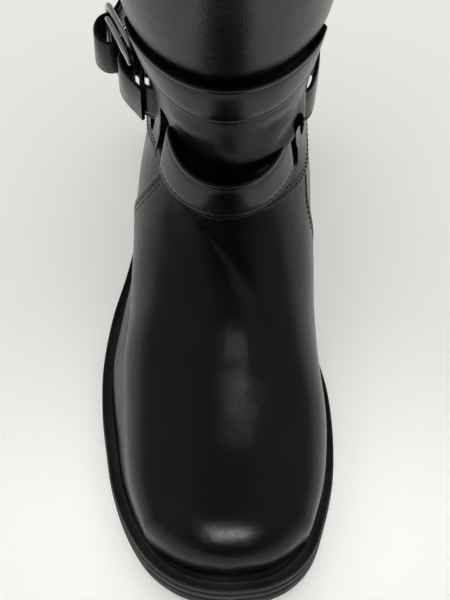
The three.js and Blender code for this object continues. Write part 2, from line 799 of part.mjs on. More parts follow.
// The free stretches of the lower strap, seen from above. The folded end is given along and out of
// the rings, as shares of their reach. The long end is given as shares of the sole's length and the
// ball's width, like the outline of the sole.
const CHAPE_ROUTE = [
  // along, out
  [-0.345, 0.058],
  [-0.145, 0.124],
  [0.109, 0.135],
  [0.309, 0.058],
  [0.407, -0.116],
  [0.313, -0.276],
  [0.109, -0.24],
  [-0.109, -0.167],
];
const BACK_ROUTE = [
  // along, side
  [0.059, 0.259],
  [0.031, 0.144],
  [0.021, 0],
  [0.035, -0.144],
  [0.073, -0.259],
  [0.122, -0.333],
  [0.161, -0.394],
  [0.187, -0.422],
  [0.205, -0.454],
  [0.207, -0.502],
  [0.191, -0.543],
  [0.166, -0.545],
  [0.151, -0.519],
  [0.147, -0.478],
  [0.129, -0.452],
  [0.101, -0.421],
  [0.077, -0.38],
  [0.058, -0.338],
];

// A smooth level stretch of strap through points given from above.
function freeRun(points, count) {
  const line = points.map(([x, y]) => new THREE.Vector3(x, y, 0));
  const curve = new THREE.CatmullRomCurve3(line, false, "centripetal");
  return curve.getSpacedPoints(count).map((p) => ({
    low: [p.x, p.y, LOWER_STRAP_Z],
    high: [p.x, p.y, LOWER_STRAP_Z + STRAP_WIDTH],
  }));
}

function lowerStrap() {
  const ring = levelRing(LOWER_STRAP_Z);
  const off = (degrees) => 6 * ease((Math.abs(degrees) - 60) / 30);
  const stand = weave(ring, LOWER_SLOTS, off);
  const lean = (degrees) => FRONT_LEAN.lower * ease(1 - Math.abs(degrees) / 38);
  const lateralOut = LOWER_SLOTS.lateral[1] - slotHalf(ring, LOWER_SLOTS.lateral[1]);
  const inWall = wallRun(LOWER_STRAP_Z, bearings(lateralOut, 118, 3), stand, lean);
  const folded = CHAPE_ROUTE.map(([along, out]) => byRing(along * RING_REACH, out * RING_REACH));
  const chape = freeRun(folded, 22);
  const back = freeRun(BACK_ROUTE.map(([along, side]) => [side * BALL_WIDTH, yOf(along)]), 52);
  return band([...chape, ...inWall, ...back], false);
}

// Materials
const finish = (color, roughness, metalness = 0) =>
  new THREE.MeshStandardMaterial({ color, roughness, metalness });
const leather = finish(0x0b0b0c, 0.3);
const rubber = finish(0x121213, 0.6);
const lining = finish(0x1b1a19, 0.8);
const steel = finish(0xb9b9bb, 0.25, 1);

// Turns a solid into a named mesh.
function mesh(name, solid, material) {
  const { numProp, vertProperties, triVerts } = solid.getMesh();
  const points = new Float32Array((vertProperties.length / numProp) * 3);
  for (let i = 0; i < points.length / 3; i++) {
    points.set(vertProperties.subarray(i * numProp, i * numProp + 3), i * 3);
  }
  const geometry = new THREE.BufferGeometry();
  geometry.setAttribute("position", new THREE.BufferAttribute(points, 3));
  geometry.setIndex(new THREE.BufferAttribute(triVerts, 1));
  geometry.computeVertexNormals();
  const made = new THREE.Mesh(geometry, material);
  made.name = name;
  return made;
}

const boot = new THREE.Group();
boot.name = "boot";
boot.add(mesh("outsole", outsole(), rubber));
boot.add(mesh("heel", heel(), rubber));
boot.add(mesh("welt", welt(), leather));
boot.add(mesh("insole", insole(), lining));
boot.add(mesh("upper", upper(), leather));
boot.add(mesh("strap_lower", lowerStrap(), leather));
boot.add(mesh("strap_upper", upperStrap(), leather));
boot.add(mesh("ring_outer", ring(0, 0), steel));
boot.add(mesh("ring_inner", ring(RING_STEP.along, -RING_STEP.inward), steel));

export default boot;
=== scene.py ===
# The looks of a right leather boot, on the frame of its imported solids. Shapes are worked out in
# millimetres and made in metres. The sizes and tables are those of the solids, but the toe is rounder
# and the lower strap lies nearer to the shaft.
import math

import bpy
import numpy as np
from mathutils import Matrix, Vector


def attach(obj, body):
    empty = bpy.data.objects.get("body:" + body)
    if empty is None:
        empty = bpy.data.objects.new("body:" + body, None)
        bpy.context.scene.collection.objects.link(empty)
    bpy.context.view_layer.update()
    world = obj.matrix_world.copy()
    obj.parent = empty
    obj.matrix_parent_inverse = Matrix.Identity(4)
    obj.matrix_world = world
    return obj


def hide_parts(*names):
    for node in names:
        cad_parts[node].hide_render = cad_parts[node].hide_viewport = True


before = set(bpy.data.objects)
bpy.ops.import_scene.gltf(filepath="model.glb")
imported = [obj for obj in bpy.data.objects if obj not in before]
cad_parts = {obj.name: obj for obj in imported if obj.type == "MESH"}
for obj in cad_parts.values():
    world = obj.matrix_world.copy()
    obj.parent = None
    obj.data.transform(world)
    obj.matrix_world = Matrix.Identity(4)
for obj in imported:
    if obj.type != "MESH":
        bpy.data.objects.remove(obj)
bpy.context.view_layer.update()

# Driving sizes, as in the solids but for the toe's dome
SOLE_LENGTH = 286
BALL_WIDTH = 108
HEEL_BACK = 35
HEEL_RISE = 30
TOE_SPRING = 8
FOREPART_THICK = 16
WAIST_THICK = 10
WELT_THICK = 3.4
WELT_WIDTH = 11
INSOLE_THICK = 4.2
INSTEP_HEIGHT = 101
BOOT_HEIGHT = 270
TOE_DOME = 22
WALL = 2
PANEL = 1
QUARTER_DROP = 0.7
CLEAR = 0.5

STRAP_THICK = 2
STRAP_WIDTH = 24
STRAP_PLAY = 1.2
LINING_PLAY = 1.8
LOWER_STRAP_Z = 107
UPPER_STRAP_Z = 165
SLOT_WIDTH = 9.5
SLOT_PLAY = 5

RING_WIRE = 1.4
RING_REACH = 27.5
RING_PLAY = 0.6
RING_BEND = 3

HEEL_END = 0.25
TREAD_GROOVES = [0.56, 0.63, 0.7, 0.77, 0.84]
GROOVE_WIDTH = 4
GROOVE_DEPTH = 2

# Fineness of the meshes
AROUND = 264  # columns round the upper
GRAIN_STEP = 1.1  # rows along a panel, in millimetres
LOOP_STATIONS = 900  # round the sole


# Small numbers
def mix(a, b, t):
    return a + (b - a) * t


def ease(t):
    t = np.clip(t, 0.0, 1.0)
    return t * t * (3 - 2 * t)


def along_of(y):
    return (HEEL_BACK - y) / SOLE_LENGTH


def y_of(along):
    return HEEL_BACK - np.asarray(along) * SOLE_LENGTH


def height_of(level):
    level = np.asarray(level, float)
    above = INSTEP_HEIGHT + (level - 1) * (BOOT_HEIGHT - INSTEP_HEIGHT)
    return np.where(level < 1, level * INSTEP_HEIGHT, above)


def smooth_line(points, count):
    """A smooth line through points, count close points to each stretch."""
    points = np.asarray(points, float)
    ends = [2 * points[0] - points[1], *points, 2 * points[-1] - points[-2]]
    line = []
    for k in range(len(points) - 1):
        p0, p1, p2, p3 = ends[k : k + 4]
        d0, d1, d2 = (np.linalg.norm(b - a) ** 0.5 for a, b in ((p0, p1), (p1, p2), (p2, p3)))
        slope_in = ((p1 - p0) / d0 - (p2 - p0) / (d0 + d1) + (p2 - p1) / d1) * d1
        slope_out = ((p2 - p1) / d1 - (p3 - p1) / (d1 + d2) + (p3 - p2) / d2) * d1
        t = np.linspace(0, 1, count, endpoint=False)[:, None]
        bend = 3 * (p2 - p1) - 2 * slope_in - slope_out
        twist = 2 * (p1 - p2) + slope_in + slope_out
        line.append(p1 + t * (slope_in + t * (bend + t * twist)))
    line.append(points[-1:])
    return np.concatenate(line)


def evenly(line, count, closed=False):
    """Points at even distances along a line."""
    if closed:
        line = np.concatenate([line, line[:1]])
    run = np.concatenate([[0], np.cumsum(np.linalg.norm(np.diff(line, axis=0), axis=1))])
    places = np.linspace(0, run[-1], count, endpoint=not closed)
    return np.stack([np.interp(places, run, line[:, k]) for k in range(line.shape[1])], axis=1)


def length_of(line):
    return float(np.linalg.norm(np.diff(line, axis=0), axis=1).sum())


# Pieces
def piece(name, points, faces, looks, stands_for=(), sharp=40, face_looks=None, marks=None):
    """A mesh object in metres from points in millimetres, riding on the boot."""
    mesh = bpy.data.meshes.new(name)
    faces = [tuple(int(i) for i in face) for face in faces]
    mesh.from_pydata((np.asarray(points, float) / 1000).tolist(), [], faces)
    for look in looks:
        mesh.materials.append(look)
    if face_looks is not None:
        mesh.polygons.foreach_set("material_index", np.asarray(face_looks, np.int32))
    for mark, values in (marks or {}).items():
        layer = mesh.attributes.new(mark, "FLOAT", "POINT")
        layer.data.foreach_set("value", np.asarray(values, np.float32))
    mesh.shade_smooth()
    mesh.set_sharp_from_angle(angle=math.radians(sharp))
    mesh.validate()
    made = bpy.data.objects.new(name, mesh)
    bpy.context.scene.collection.objects.link(made)
    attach(made, "root")
    if stands_for:
        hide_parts(*stands_for)
    return made


def ring_faces(rows, count, wrap=False, start=0):
    """Faces between successive closed rings of equal length."""
    faces = []
    for r in range(rows if wrap else rows - 1):
        a = start + r * count
        b = start + ((r + 1) % rows) * count
        faces += [(a + i, a + (i + 1) % count, b + (i + 1) % count, b + i) for i in range(count)]
    return faces


def outward(points, faces):
    """Turns every face of a closed mesh round when the mesh is inside out."""
    volume = 0.0
    for face in faces:
        for k in range(1, len(face) - 1):
            a, b, c = points[face[0]], points[face[k]], points[face[k + 1]]
            volume += float(np.dot(a, np.cross(b, c)))
    return faces if volume > 0 else [tuple(reversed(face)) for face in faces]


def rounded(rows, share=0.3, steps=3):
    """A profile whose inner corners are rounded off over a share of their shorter side."""
    rows = np.asarray(rows, float)
    out = [rows[0]]
    for before, here, after in zip(rows[:-2], rows[1:-1], rows[2:]):
        near = share * min(np.linalg.norm(before - here), np.linalg.norm(after - here))
        a = here + (before - here) / np.linalg.norm(before - here) * near
        b = here + (after - here) / np.linalg.norm(after - here) * near
        for t in np.linspace(0, 1, steps):
            out.append((1 - t) ** 2 * a + 2 * t * (1 - t) * here + t**2 * b)
    out.append(rows[-1])
    return np.array(out)


# The outline of the sole, in shares of its length and of the ball's width
LATERAL_EDGE = [
    # along, side
    (0, 0), (0.014, -0.167), (0.059, -0.287), (0.122, -0.329), (0.199, -0.338), (0.28, -0.352),
    (0.36, -0.385), (0.427, -0.431), (0.497, -0.491), (0.577, -0.528), (0.654, -0.531),
    (0.734, -0.509), (0.818, -0.472), (0.89, -0.403), (0.944, -0.315), (0.981, -0.194),
    (0.997, -0.065), (1, 0.03),
]
MEDIAL_EDGE = [
    # along, side
    (0, 0), (0.013, 0.157), (0.056, 0.273), (0.115, 0.315), (0.185, 0.319), (0.255, 0.319),
    (0.332, 0.324), (0.409, 0.338), (0.483, 0.366), (0.556, 0.403), (0.629, 0.449),
    (0.717, 0.469), (0.787, 0.463), (0.864, 0.426), (0.925, 0.375), (0.965, 0.296),
    (0.99, 0.185), (1, 0.03),
]


def edge_line(table):
    return smooth_line([(side * BALL_WIDTH, y_of(along)) for along, side in table], 40)


LATERAL_LINE = edge_line(LATERAL_EDGE)
MEDIAL_LINE = edge_line(MEDIAL_EDGE)


def side_at(line, y):
    return np.interp(-np.asarray(y), -line[:, 1], line[:, 0])


def outline_loop(stations=LOOP_STATIONS):
    """The outline as a closed loop of evenly spaced points, heel back first, lateral side down."""
    return evenly(np.concatenate([LATERAL_LINE, MEDIAL_LINE[-2:0:-1]]), stations, closed=True)


def paired_loop(end_along=1.0, stations=170):
    """The outline with its points paired across the sole, and the number of points on one side."""
    whole = end_along == 1.0
    k = np.arange(1, stations)
    turn = math.pi if whole else math.pi / 2
    share = (1 - np.cos(turn * k / stations)) / (2 if whole else 1)
    y = y_of(share * end_along)
    if whole:
        y = np.sort(np.concatenate([y, groove_stations()]))[::-1]
    lateral = np.stack([side_at(LATERAL_LINE, y), y], axis=1)
    medial = np.stack([side_at(MEDIAL_LINE, y), y], axis=1)[::-1]
    back = [[0, HEEL_BACK]]
    if whole:
        return np.concatenate([back, lateral, LATERAL_LINE[-1:], medial])
    y = float(y_of(end_along))
    breast = np.linspace(side_at(LATERAL_LINE, y), side_at(MEDIAL_LINE, y), 2)
    return np.concatenate([back, lateral, [[x, y] for x in breast], medial])


def groove_stations():
    """Rows just inside and outside both walls of each tread groove."""
    offsets = np.array([-0.55, -0.5, 0.5, 0.55]) * GROOVE_WIDTH
    return (y_of(TREAD_GROOVES)[:, None] + offsets[None, :]).ravel()


def inset(loop, depth):
    """Moves each side of a loop inward by the same depth, corners mitred."""
    before = loop - np.roll(loop, 1, axis=0)
    after = np.roll(loop, -1, axis=0) - loop

    def inward(step):
        length = np.linalg.norm(step, axis=1, keepdims=True)
        return np.stack([-step[:, 1], step[:, 0]], axis=1) / length

    a, b = inward(before), inward(after)
    mitre = depth / (1 + (a * b).sum(axis=1, keepdims=True))
    return loop + mitre * (a + b)


# Side view of the sole
def underside(y):
    along = along_of(y)
    rise = HEEL_RISE * (1 - ease((along - 0.27) / 0.32))
    spring = TOE_SPRING * np.clip((along - 0.74) / 0.26, 0, 1) ** 1.7
    return rise + spring


def thickness(y):
    return mix(WAIST_THICK, FOREPART_THICK, ease((along_of(y) - 0.36) / 0.22))


def sole_top(y):
    return underside(y) + thickness(y)


def welt_top(y):
    return sole_top(y) + CLEAR + WELT_THICK


def raised(loop, heights):
    return np.column_stack([loop, heights])


def paired_caps(count, base, flip):
    """Faces straight across a ring whose points are paired."""
    faces = []
    for i in range(1, count // 2 + 1):
        quad = [base + i - 1, base + i, base + count - i, base + (count - i + 1) % count]
        quad = list(dict.fromkeys(quad))
        if len(quad) > 2:
            faces.append(tuple(reversed(quad)) if flip else tuple(quad))
    return faces


def paired_mesh(rings):
    count = len(rings[0])
    points = np.concatenate(rings)
    faces = ring_faces(len(rings), count)
    faces += paired_caps(count, 0, True) + paired_caps(count, (len(rings) - 1) * count, False)
    return points, outward(points, faces)


OUTSOLE_WALL = [
    # inset, up
    (3, 0), (1.6, 0.07), (1, 0.2), (0.7, 0.52), (1.7, 0.56), (1.7, 0.64), (0.4, 0.68), (0, 0.94),
    (0.8, 1),
]


def outsole(look):
    loop = paired_loop()
    in_groove = np.zeros(len(loop), bool)
    for along in TREAD_GROOVES:
        in_groove |= np.abs(loop[:, 1] - y_of(along)) < 0.52 * GROOVE_WIDTH
    floor = underside(loop[:, 1]) + np.where(in_groove, GROOVE_DEPTH, 0)
    rings = []
    for depth, up in rounded([(d, u * FOREPART_THICK) for d, u in OUTSOLE_WALL]):
        ring = inset(loop, depth)
        heights = underside(ring[:, 1]) + up / FOREPART_THICK * thickness(ring[:, 1])
        rings.append(raised(ring, np.maximum(heights, floor)))
    points, faces = paired_mesh(rings)
    return piece("sole_tread", points, faces, [look], ["outsole"], sharp=32)


HEEL_WALL = [
    # inset, up
    (4, 0), (3, 0.04), (2.6, 0.23), (3.4, 0.25), (3.4, 0.28), (2.4, 0.3), (1.4, 1),
]


def heel(look):
    loop = paired_loop(HEEL_END, 90)
    top = HEEL_RISE - CLEAR
    rings = []
    for depth, up in rounded([(d, u * top) for d, u in HEEL_WALL]):
        ring = inset(loop, depth)
        rings.append(raised(ring, np.full(len(ring), up)))
    points, faces = paired_mesh(rings)
    return piece("heel_block", points, faces, [look], ["heel"], sharp=32)


WELT_RIB_PITCH = 1.55
WELT_WALL = [
    # inset, height above the outsole, how deep the ribs are
    (0.9, 0, 0),
    (0.25, 0.5, 0),
    (0.2, 3.1, 0.1),
    (0.55, 4, 0.25),
    (1.3, 4.05, 0.35),
    (2, 3.55, 0.3),
    (3.9, 3.5, 0.25),
    (4.4, 3.6, 0),
    (4.7, 4.15, 0),
    (5.3, 4.2, 0),
    (5.7, 3.4, 0),
    (6.6, 3.1, 0),
    (7.4, 3.3, 0),
    (WELT_WIDTH, 3.3, 0),
    (WELT_WIDTH, 0, 0),
]


def welt(look):
    """The strip round the sole: ribbed outer band, a raised line, and a channel by the upper."""
    outline = outline_loop()
    perimeter = length_of(np.concatenate([outline, outline[:1]]))
    stations = int(perimeter / WELT_RIB_PITCH) * 4
    loop = outline_loop(stations)
    rib = 0.5 - 0.5 * np.cos(2 * math.pi * np.arange(stations) / 4)
    strength = 0.35 + 0.65 * (1 - ease((along_of(loop[:, 1]) - 0.62) / 0.2))
    rings = []
    for depth, height, deep in rounded(WELT_WALL, 0.25, 2):
        ring = inset(loop, depth)
        heights = sole_top(ring[:, 1]) + CLEAR + height - deep * rib * strength
        rings.append(raised(ring, heights))
    points = np.concatenate(rings)
    faces = outward(points, ring_faces(len(rings), stations, wrap=True))
    return piece("welt_strip", points, faces, [look], ["welt"], sharp=50)


def insole(look):
    loop = paired_loop()
    edge = WELT_WIDTH + 3 * CLEAR
    rows = [(edge, 0), (edge, 0.7), (edge + 0.4, 0.93), (edge + 1.2, 1), (edge + 6, 0.93)]
    rings = []
    for depth, up in rows:
        ring = inset(loop, depth)
        rings.append(raised(ring, sole_top(ring[:, 1]) + CLEAR + up * INSOLE_THICK))
    points, faces = paired_mesh(rings)
    return piece("insole_pad", points, faces, [look], ["insole"])


# Upper sections, as in the solids
SECTIONS = np.array([
    # ridgeAlong, ridgeLevel, baseAlong, baseLevel, lateral, medial, wide, ridgeRound, baseRound, ridgeSide
    (0.899, 0.574, 0.899, 0.139, 0.361, 0.361, 0.5, 2.5, 3, 0.02),
    (0.822, 0.634, 0.822, 0.099, 0.421, 0.407, 0.45, 2.4, 3, 0.025),
    (0.717, 0.693, 0.717, 0.079, 0.447, 0.419, 0.42, 2.3, 3, 0.03),
    (0.612, 0.782, 0.612, 0.079, 0.45, 0.394, 0.4, 2.15, 2.8, 0.025),
    (0.542, 0.881, 0.514, 0.079, 0.421, 0.38, 0.42, 2, 2.6, 0.02),
    (0.49, 1, 0.402, 0.139, 0.4, 0.38, 0.48, 1.9, 2.4, 0.01),
    (0.469, 1.041, 0.29, 0.238, 0.394, 0.375, 0.48, 1.85, 2.4, 0.01),
    (0.451, 1.095, 0.164, 0.317, 0.373, 0.37, 0.5, 1.85, 2.4, 0.01),
    (0.437, 1.16, 0.052, 0.356, 0.341, 0.347, 0.5, 1.95, 2.5, 0.01),
    (0.43, 1.219, 0.014, 0.574, 0.324, 0.343, 0.48, 2, 2.3, 0.01),
    (0.427, 1.29, 0.018, 0.871, 0.32, 0.34, 0.5, 2.05, 2.1, 0.01),
    (0.421, 1.385, 0.042, 1.112, 0.335, 0.364, 0.5, 2.05, 2.05, 0.01),
    (0.42, 1.485, 0.056, 1.32, 0.375, 0.389, 0.5, 2.05, 2.05, 0.01),
    (0.423, 1.615, 0.054, 1.527, 0.431, 0.44, 0.5, 2.1, 2.1, 0.01),
    (0.43, 1.793, 0.044, 1.751, 0.463, 0.468, 0.5, 2.1, 2.1, 0.01),
    (0.44, 2, 0.028, 2, 0.477, 0.482, 0.5, 2.1, 2.1, 0.01),
    (0.445, 2.13, 0.021, 2.13, 0.482, 0.486, 0.5, 2.1, 2.1, 0.01),
])
ANKLE_ROW = 5
LAST_ROW = len(SECTIONS) - 1
TOE_TAPER = {"width": 0.18, "height": 0.3, "round": 2.6}
TOE_SEAT = 7  # how far inside the sole's outline the toe's line runs
TOE_FOLLOW = 0.32
TOE_FULL = 3.6  # how much wider than that line the dome starts
TOE_SEAT_FADE = 0.4  # share of the toe over which its seat on the welt fades
TOE_PASSES = 60
SEAT_INSET = 7.5
SEAT_BLEND = 22
HEEL_ROWS = (8.2, 8.9)


def toe_lines():
    """The two sides of a line that runs inside the sole's outline, which the toe follows."""
    loop = inset(outline_loop(2000), TOE_SEAT)
    tip = int(loop[:, 1].argmin())
    return {"lateral": loop[: tip + 1], "medial": loop[tip:][::-1]}


TOE_LINES = toe_lines()


def slices(places):
    """Slices at places along the boot: -1 to 0 is the toe's dome, and 0 on are the sections."""
    places = np.atleast_1d(np.asarray(places, float))
    on = np.clip(places, 0, LAST_ROW)
    k = np.minimum(LAST_ROW - 1, np.floor(on)).astype(int)
    t = (on - k)[:, None]
    row = [SECTIONS[np.clip(k + i, 0, LAST_ROW)] for i in (-1, 0, 1, 2)]
    slope_in = (row[2] - row[0]) / 2
    slope_out = (row[3] - row[1]) / 2
    bend = 3 * (row[2] - row[1]) - 2 * slope_in - slope_out
    twist = 2 * (row[1] - row[2]) + slope_in + slope_out
    v = row[1] + t * (slope_in + t * (bend + t * twist))
    cut = {
        "ridge_y": y_of(v[:, 0]), "ridge_z": height_of(v[:, 1]),
        "base_y": y_of(v[:, 2]), "base_z": height_of(v[:, 3]),
        "lateral": v[:, 4] * BALL_WIDTH, "medial": v[:, 5] * BALL_WIDTH,
        "wide": v[:, 6], "ridge_round": v[:, 7], "base_round": v[:, 8],
        "ridge_side": v[:, 9] * BALL_WIDTH,
    }
    share = np.clip(-places, 0, 1)
    end = (1 - share ** TOE_TAPER["round"]) ** (1 / TOE_TAPER["round"])
    low = (1 - TOE_TAPER["height"] * share) * end
    middle = mix(cut["base_z"], cut["ridge_z"], cut["wide"])
    toe = share > 0
    cut["ridge_z"] = np.where(toe, mix(middle, cut["ridge_z"], low), cut["ridge_z"])
    cut["base_z"] = np.where(toe, mix(middle, cut["base_z"], low), cut["base_z"])
    cut["ridge_y"] = cut["ridge_y"] - TOE_DOME * share
    cut["base_y"] = cut["base_y"] - TOE_DOME * share
    centre = cut["ridge_side"] * cut["wide"]
    follow = ease(share / TOE_FOLLOW)
    for side, sign in (("lateral", -1), ("medial", 1)):
        reach = sign * (side_at(TOE_LINES[side], cut["ridge_y"]) - centre) + TOE_FULL * (1 - share)
        own = cut[side] * (1 - TOE_TAPER["width"] * share)
        cut[side] = np.where(toe, mix(own, np.maximum(reach, WALL / 4), follow), cut[side])
    return cut


def on_slices(cut, turn):
    """Points at turns on slices. Turn 0 is the ridge, pi the base, the medial side between."""
    c, s = np.cos(turn), np.sin(turn)
    part = {key: value.reshape((-1,) + (1,) * (np.ndim(turn) - 1)) for key, value in cut.items()}
    if np.ndim(turn) < 2:
        part = cut
    power = 2 / np.where(c >= 0, part["ridge_round"], part["base_round"])
    reach = np.abs(c) ** power
    r = np.where(c >= 0, mix(part["wide"], 1, reach), mix(part["wide"], 0, reach))
    half = np.where(s > 0, part["medial"], part["lateral"]) * np.abs(s) ** power
    x = part["ridge_side"] * r + np.sign(s) * half
    y = mix(part["base_y"], part["ridge_y"], r)
    z = mix(part["base_z"], part["ridge_z"], r)
    return np.stack([x, y, z], axis=-1)


def seat_ratio(cut, side):
    """How much wider or narrower each slice must be where it meets the welt."""
    size = len(cut["wide"])
    high = np.full(size, math.pi / 2)
    low = np.full(size, math.pi)

    def above(turn):
        p = on_slices(cut, turn)
        return p[:, 2] > welt_top(p[:, 1])

    free = above(low) | ~above(high)
    for _ in range(24):
        half = (high + low) / 2
        up = above(half)
        high = np.where(up, half, high)
        low = np.where(up, low, half)
    x = on_slices(cut, side * high)[:, 0]
    y = on_slices(cut, high)[:, 1]
    edge = side_at(MEDIAL_LINE if side > 0 else LATERAL_LINE, y)
    return np.where(free, 1.0, (np.abs(edge) - SEAT_INSET) / np.abs(x))


def master_places():
    toe = -(1 - np.linspace(0.02, 1, 70, endpoint=False) ** 2)
    return np.concatenate([toe, np.linspace(0, LAST_ROW, LAST_ROW * 40 + 1)])


def soft_toe(grid, share):
    """Evens out the rows at the end of the toe and draws the first of them in to a point."""
    grid = grid.copy()
    weight = ease((share - 0.9) / 0.08)[1:-1, None, None]
    for _ in range(TOE_PASSES):
        grid[0] = mix(grid[1].mean(axis=0), grid[1], 0.02)
        beside = np.roll(grid, 1, axis=1) + np.roll(grid, -1, axis=1)
        even = (grid[:-2] + grid[2:] + beside[1:-1]) / 4
        grid[1:-1] = mix(grid[1:-1], even, weight * 0.8)
    return grid


def master_grid():
    """The upper's surface as a fine grid: a row for each place, an even spread of columns round it."""
    places = master_places()
    cut = slices(places)
    ratio = {side: seat_ratio(cut, side) for side in (1, -1)}
    share = np.clip(-places, 0, 1)
    seated = 1 - ease(share / TOE_SEAT_FADE)
    start, stop = HEEL_ROWS
    seated = seated * (1 - ease((places - start) / (stop - start)))
    turns = np.linspace(0, math.pi, 721)
    half = AROUND // 2
    sides = []
    for side in (1, -1):
        p = on_slices(cut, np.tile(side * turns, (len(places), 1)))
        if side < 0:
            p[:, 0, 0] = cut["ridge_side"]
        near = seated[:, None] * (1 - ease((p[..., 2] - welt_top(p[..., 1])) / SEAT_BLEND))
        toward = np.where(p[..., 0] < 0, ratio[-1][:, None], ratio[1][:, None])
        p[..., 0] *= mix(1, toward, near)
        step = np.linalg.norm(np.diff(p, axis=1), axis=2)
        run = np.concatenate([np.zeros((len(places), 1)), np.cumsum(step, axis=1)], axis=1)
        even = np.empty((len(places), half + 1, 3))
        for r in range(len(places)):
            want = np.linspace(0, run[r, -1], half + 1)
            for c in range(3):
                even[r, :, c] = np.interp(want, run[r], p[r, :, c])
        sides.append(even)
    grid = np.concatenate([sides[0][:, :-1], sides[1][:, :0:-1]], axis=1)
    grid = soft_toe(grid, share)
    around = np.roll(grid, -1, axis=1) - np.roll(grid, 1, axis=1)
    onward = np.gradient(grid, axis=0)
    normals = np.cross(around, onward)
    normals /= np.linalg.norm(normals, axis=2, keepdims=True) + 1e-12
    step = np.linalg.norm(np.diff(grid, axis=0), axis=2)
    run = np.concatenate([np.zeros((1, AROUND)), np.cumsum(step, axis=0)])
    return {"places": places, "grid": grid, "normals": normals, "run": run}


UPPER = master_grid()


# Cut edges of the leather, as in the solids
SHAFT_EDGE = {
    "lateral": [
        # along, level
        (0.56, 1.018), (0.465, 1.018), (0.416, 1.024), (0.374, 1.015), (0.346, 1.006),
        (0.322, 0.974), (0.294, 0.924), (0.248, 0.881), (0.175, 0.856), (-0.1, 0.851),
    ],
    "medial": [
        # along, level
        (0.56, 1.018), (0.472, 1.018), (0.441, 1), (0.406, 0.953), (0.374, 0.914),
        (0.332, 0.884), (0.262, 0.864), (0.175, 0.856), (-0.1, 0.851),
    ],
}
VAMP_EDGE = {
    "lateral": [
        # along, level
        (0.385, 1.065), (0.385, 1), (0.382, 0.871), (0.376, 0.772), (0.365, 0.653),
        (0.353, 0.515), (0.346, 0.376), (0.346, 0.05),
    ],
    "medial": [
        # along, level
        (0.297, 1.018), (0.332, 0.941), (0.358, 0.886), (0.378, 0.842), (0.392, 0.777),
        (0.402, 0.693), (0.409, 0.545), (0.409, 0.396), (0.406, 0.05),
    ],
}


def side_line(table):
    return smooth_line([(float(y_of(a)), float(height_of(level))) for a, level in table], 24)


def first_crossing(values):
    """The row, with its fraction, at which each column first turns positive."""
    out = np.full(values.shape[1], np.inf)
    positive = values > 0
    for j in range(values.shape[1]):
        rows = np.flatnonzero(positive[1:, j] & ~positive[:-1, j])
        if len(rows):
            i = rows[0]
            a, b = values[i, j], values[i + 1, j]
            out[j] = i + a / (a - b)
    return out


def row_run(rows):
    """Distance along each column at a row with a fraction."""
    top = UPPER["run"].shape[0] - 1
    rows = np.minimum(rows, top)
    i = np.minimum(np.floor(rows), top - 1).astype(int)
    j = np.arange(AROUND)
    return mix(UPPER["run"][i, j], UPPER["run"][i + 1, j], rows - i)


def seams():
    """For each column, the distance along it of the vamp's edge, the shaft's edge and the collar."""
    grid = UPPER["grid"]
    lateral = grid[..., 0] < 1
    behind = np.empty(grid.shape[:2])
    above = np.empty(grid.shape[:2])
    for side, mask in (("lateral", lateral), ("medial", ~lateral)):
        vamp = side_line(VAMP_EDGE[side])[::-1]
        shaft = side_line(SHAFT_EDGE[side])
        y, z = grid[..., 1][mask], grid[..., 2][mask]
        behind[mask] = y - np.interp(z, vamp[:, 1], vamp[:, 0])
        above[mask] = z - np.interp(y, shaft[:, 0], shaft[:, 1])
    collar = grid[..., 2] - BOOT_HEIGHT
    return {
        "vamp": row_run(first_crossing(behind)) + np.where(np.isinf(first_crossing(behind)), 1e4, 0),
        "shaft": row_run(first_crossing(above)),
        "collar": row_run(first_crossing(collar)),
    }


SEAMS = seams()


def at_run(run):
    """Surface points and normals at distances along the columns."""
    shape = run.shape
    points = np.empty(shape + (3,))
    normals = np.empty(shape + (3,))
    for j in range(AROUND):
        line = UPPER["run"][:, j]
        for c in range(3):
            points[:, j, c] = np.interp(run[:, j], line, UPPER["grid"][:, j, c])
            normals[:, j, c] = np.interp(run[:, j], line, UPPER["normals"][:, j, c])
    normals /= np.linalg.norm(normals, axis=2, keepdims=True)
    return points, normals


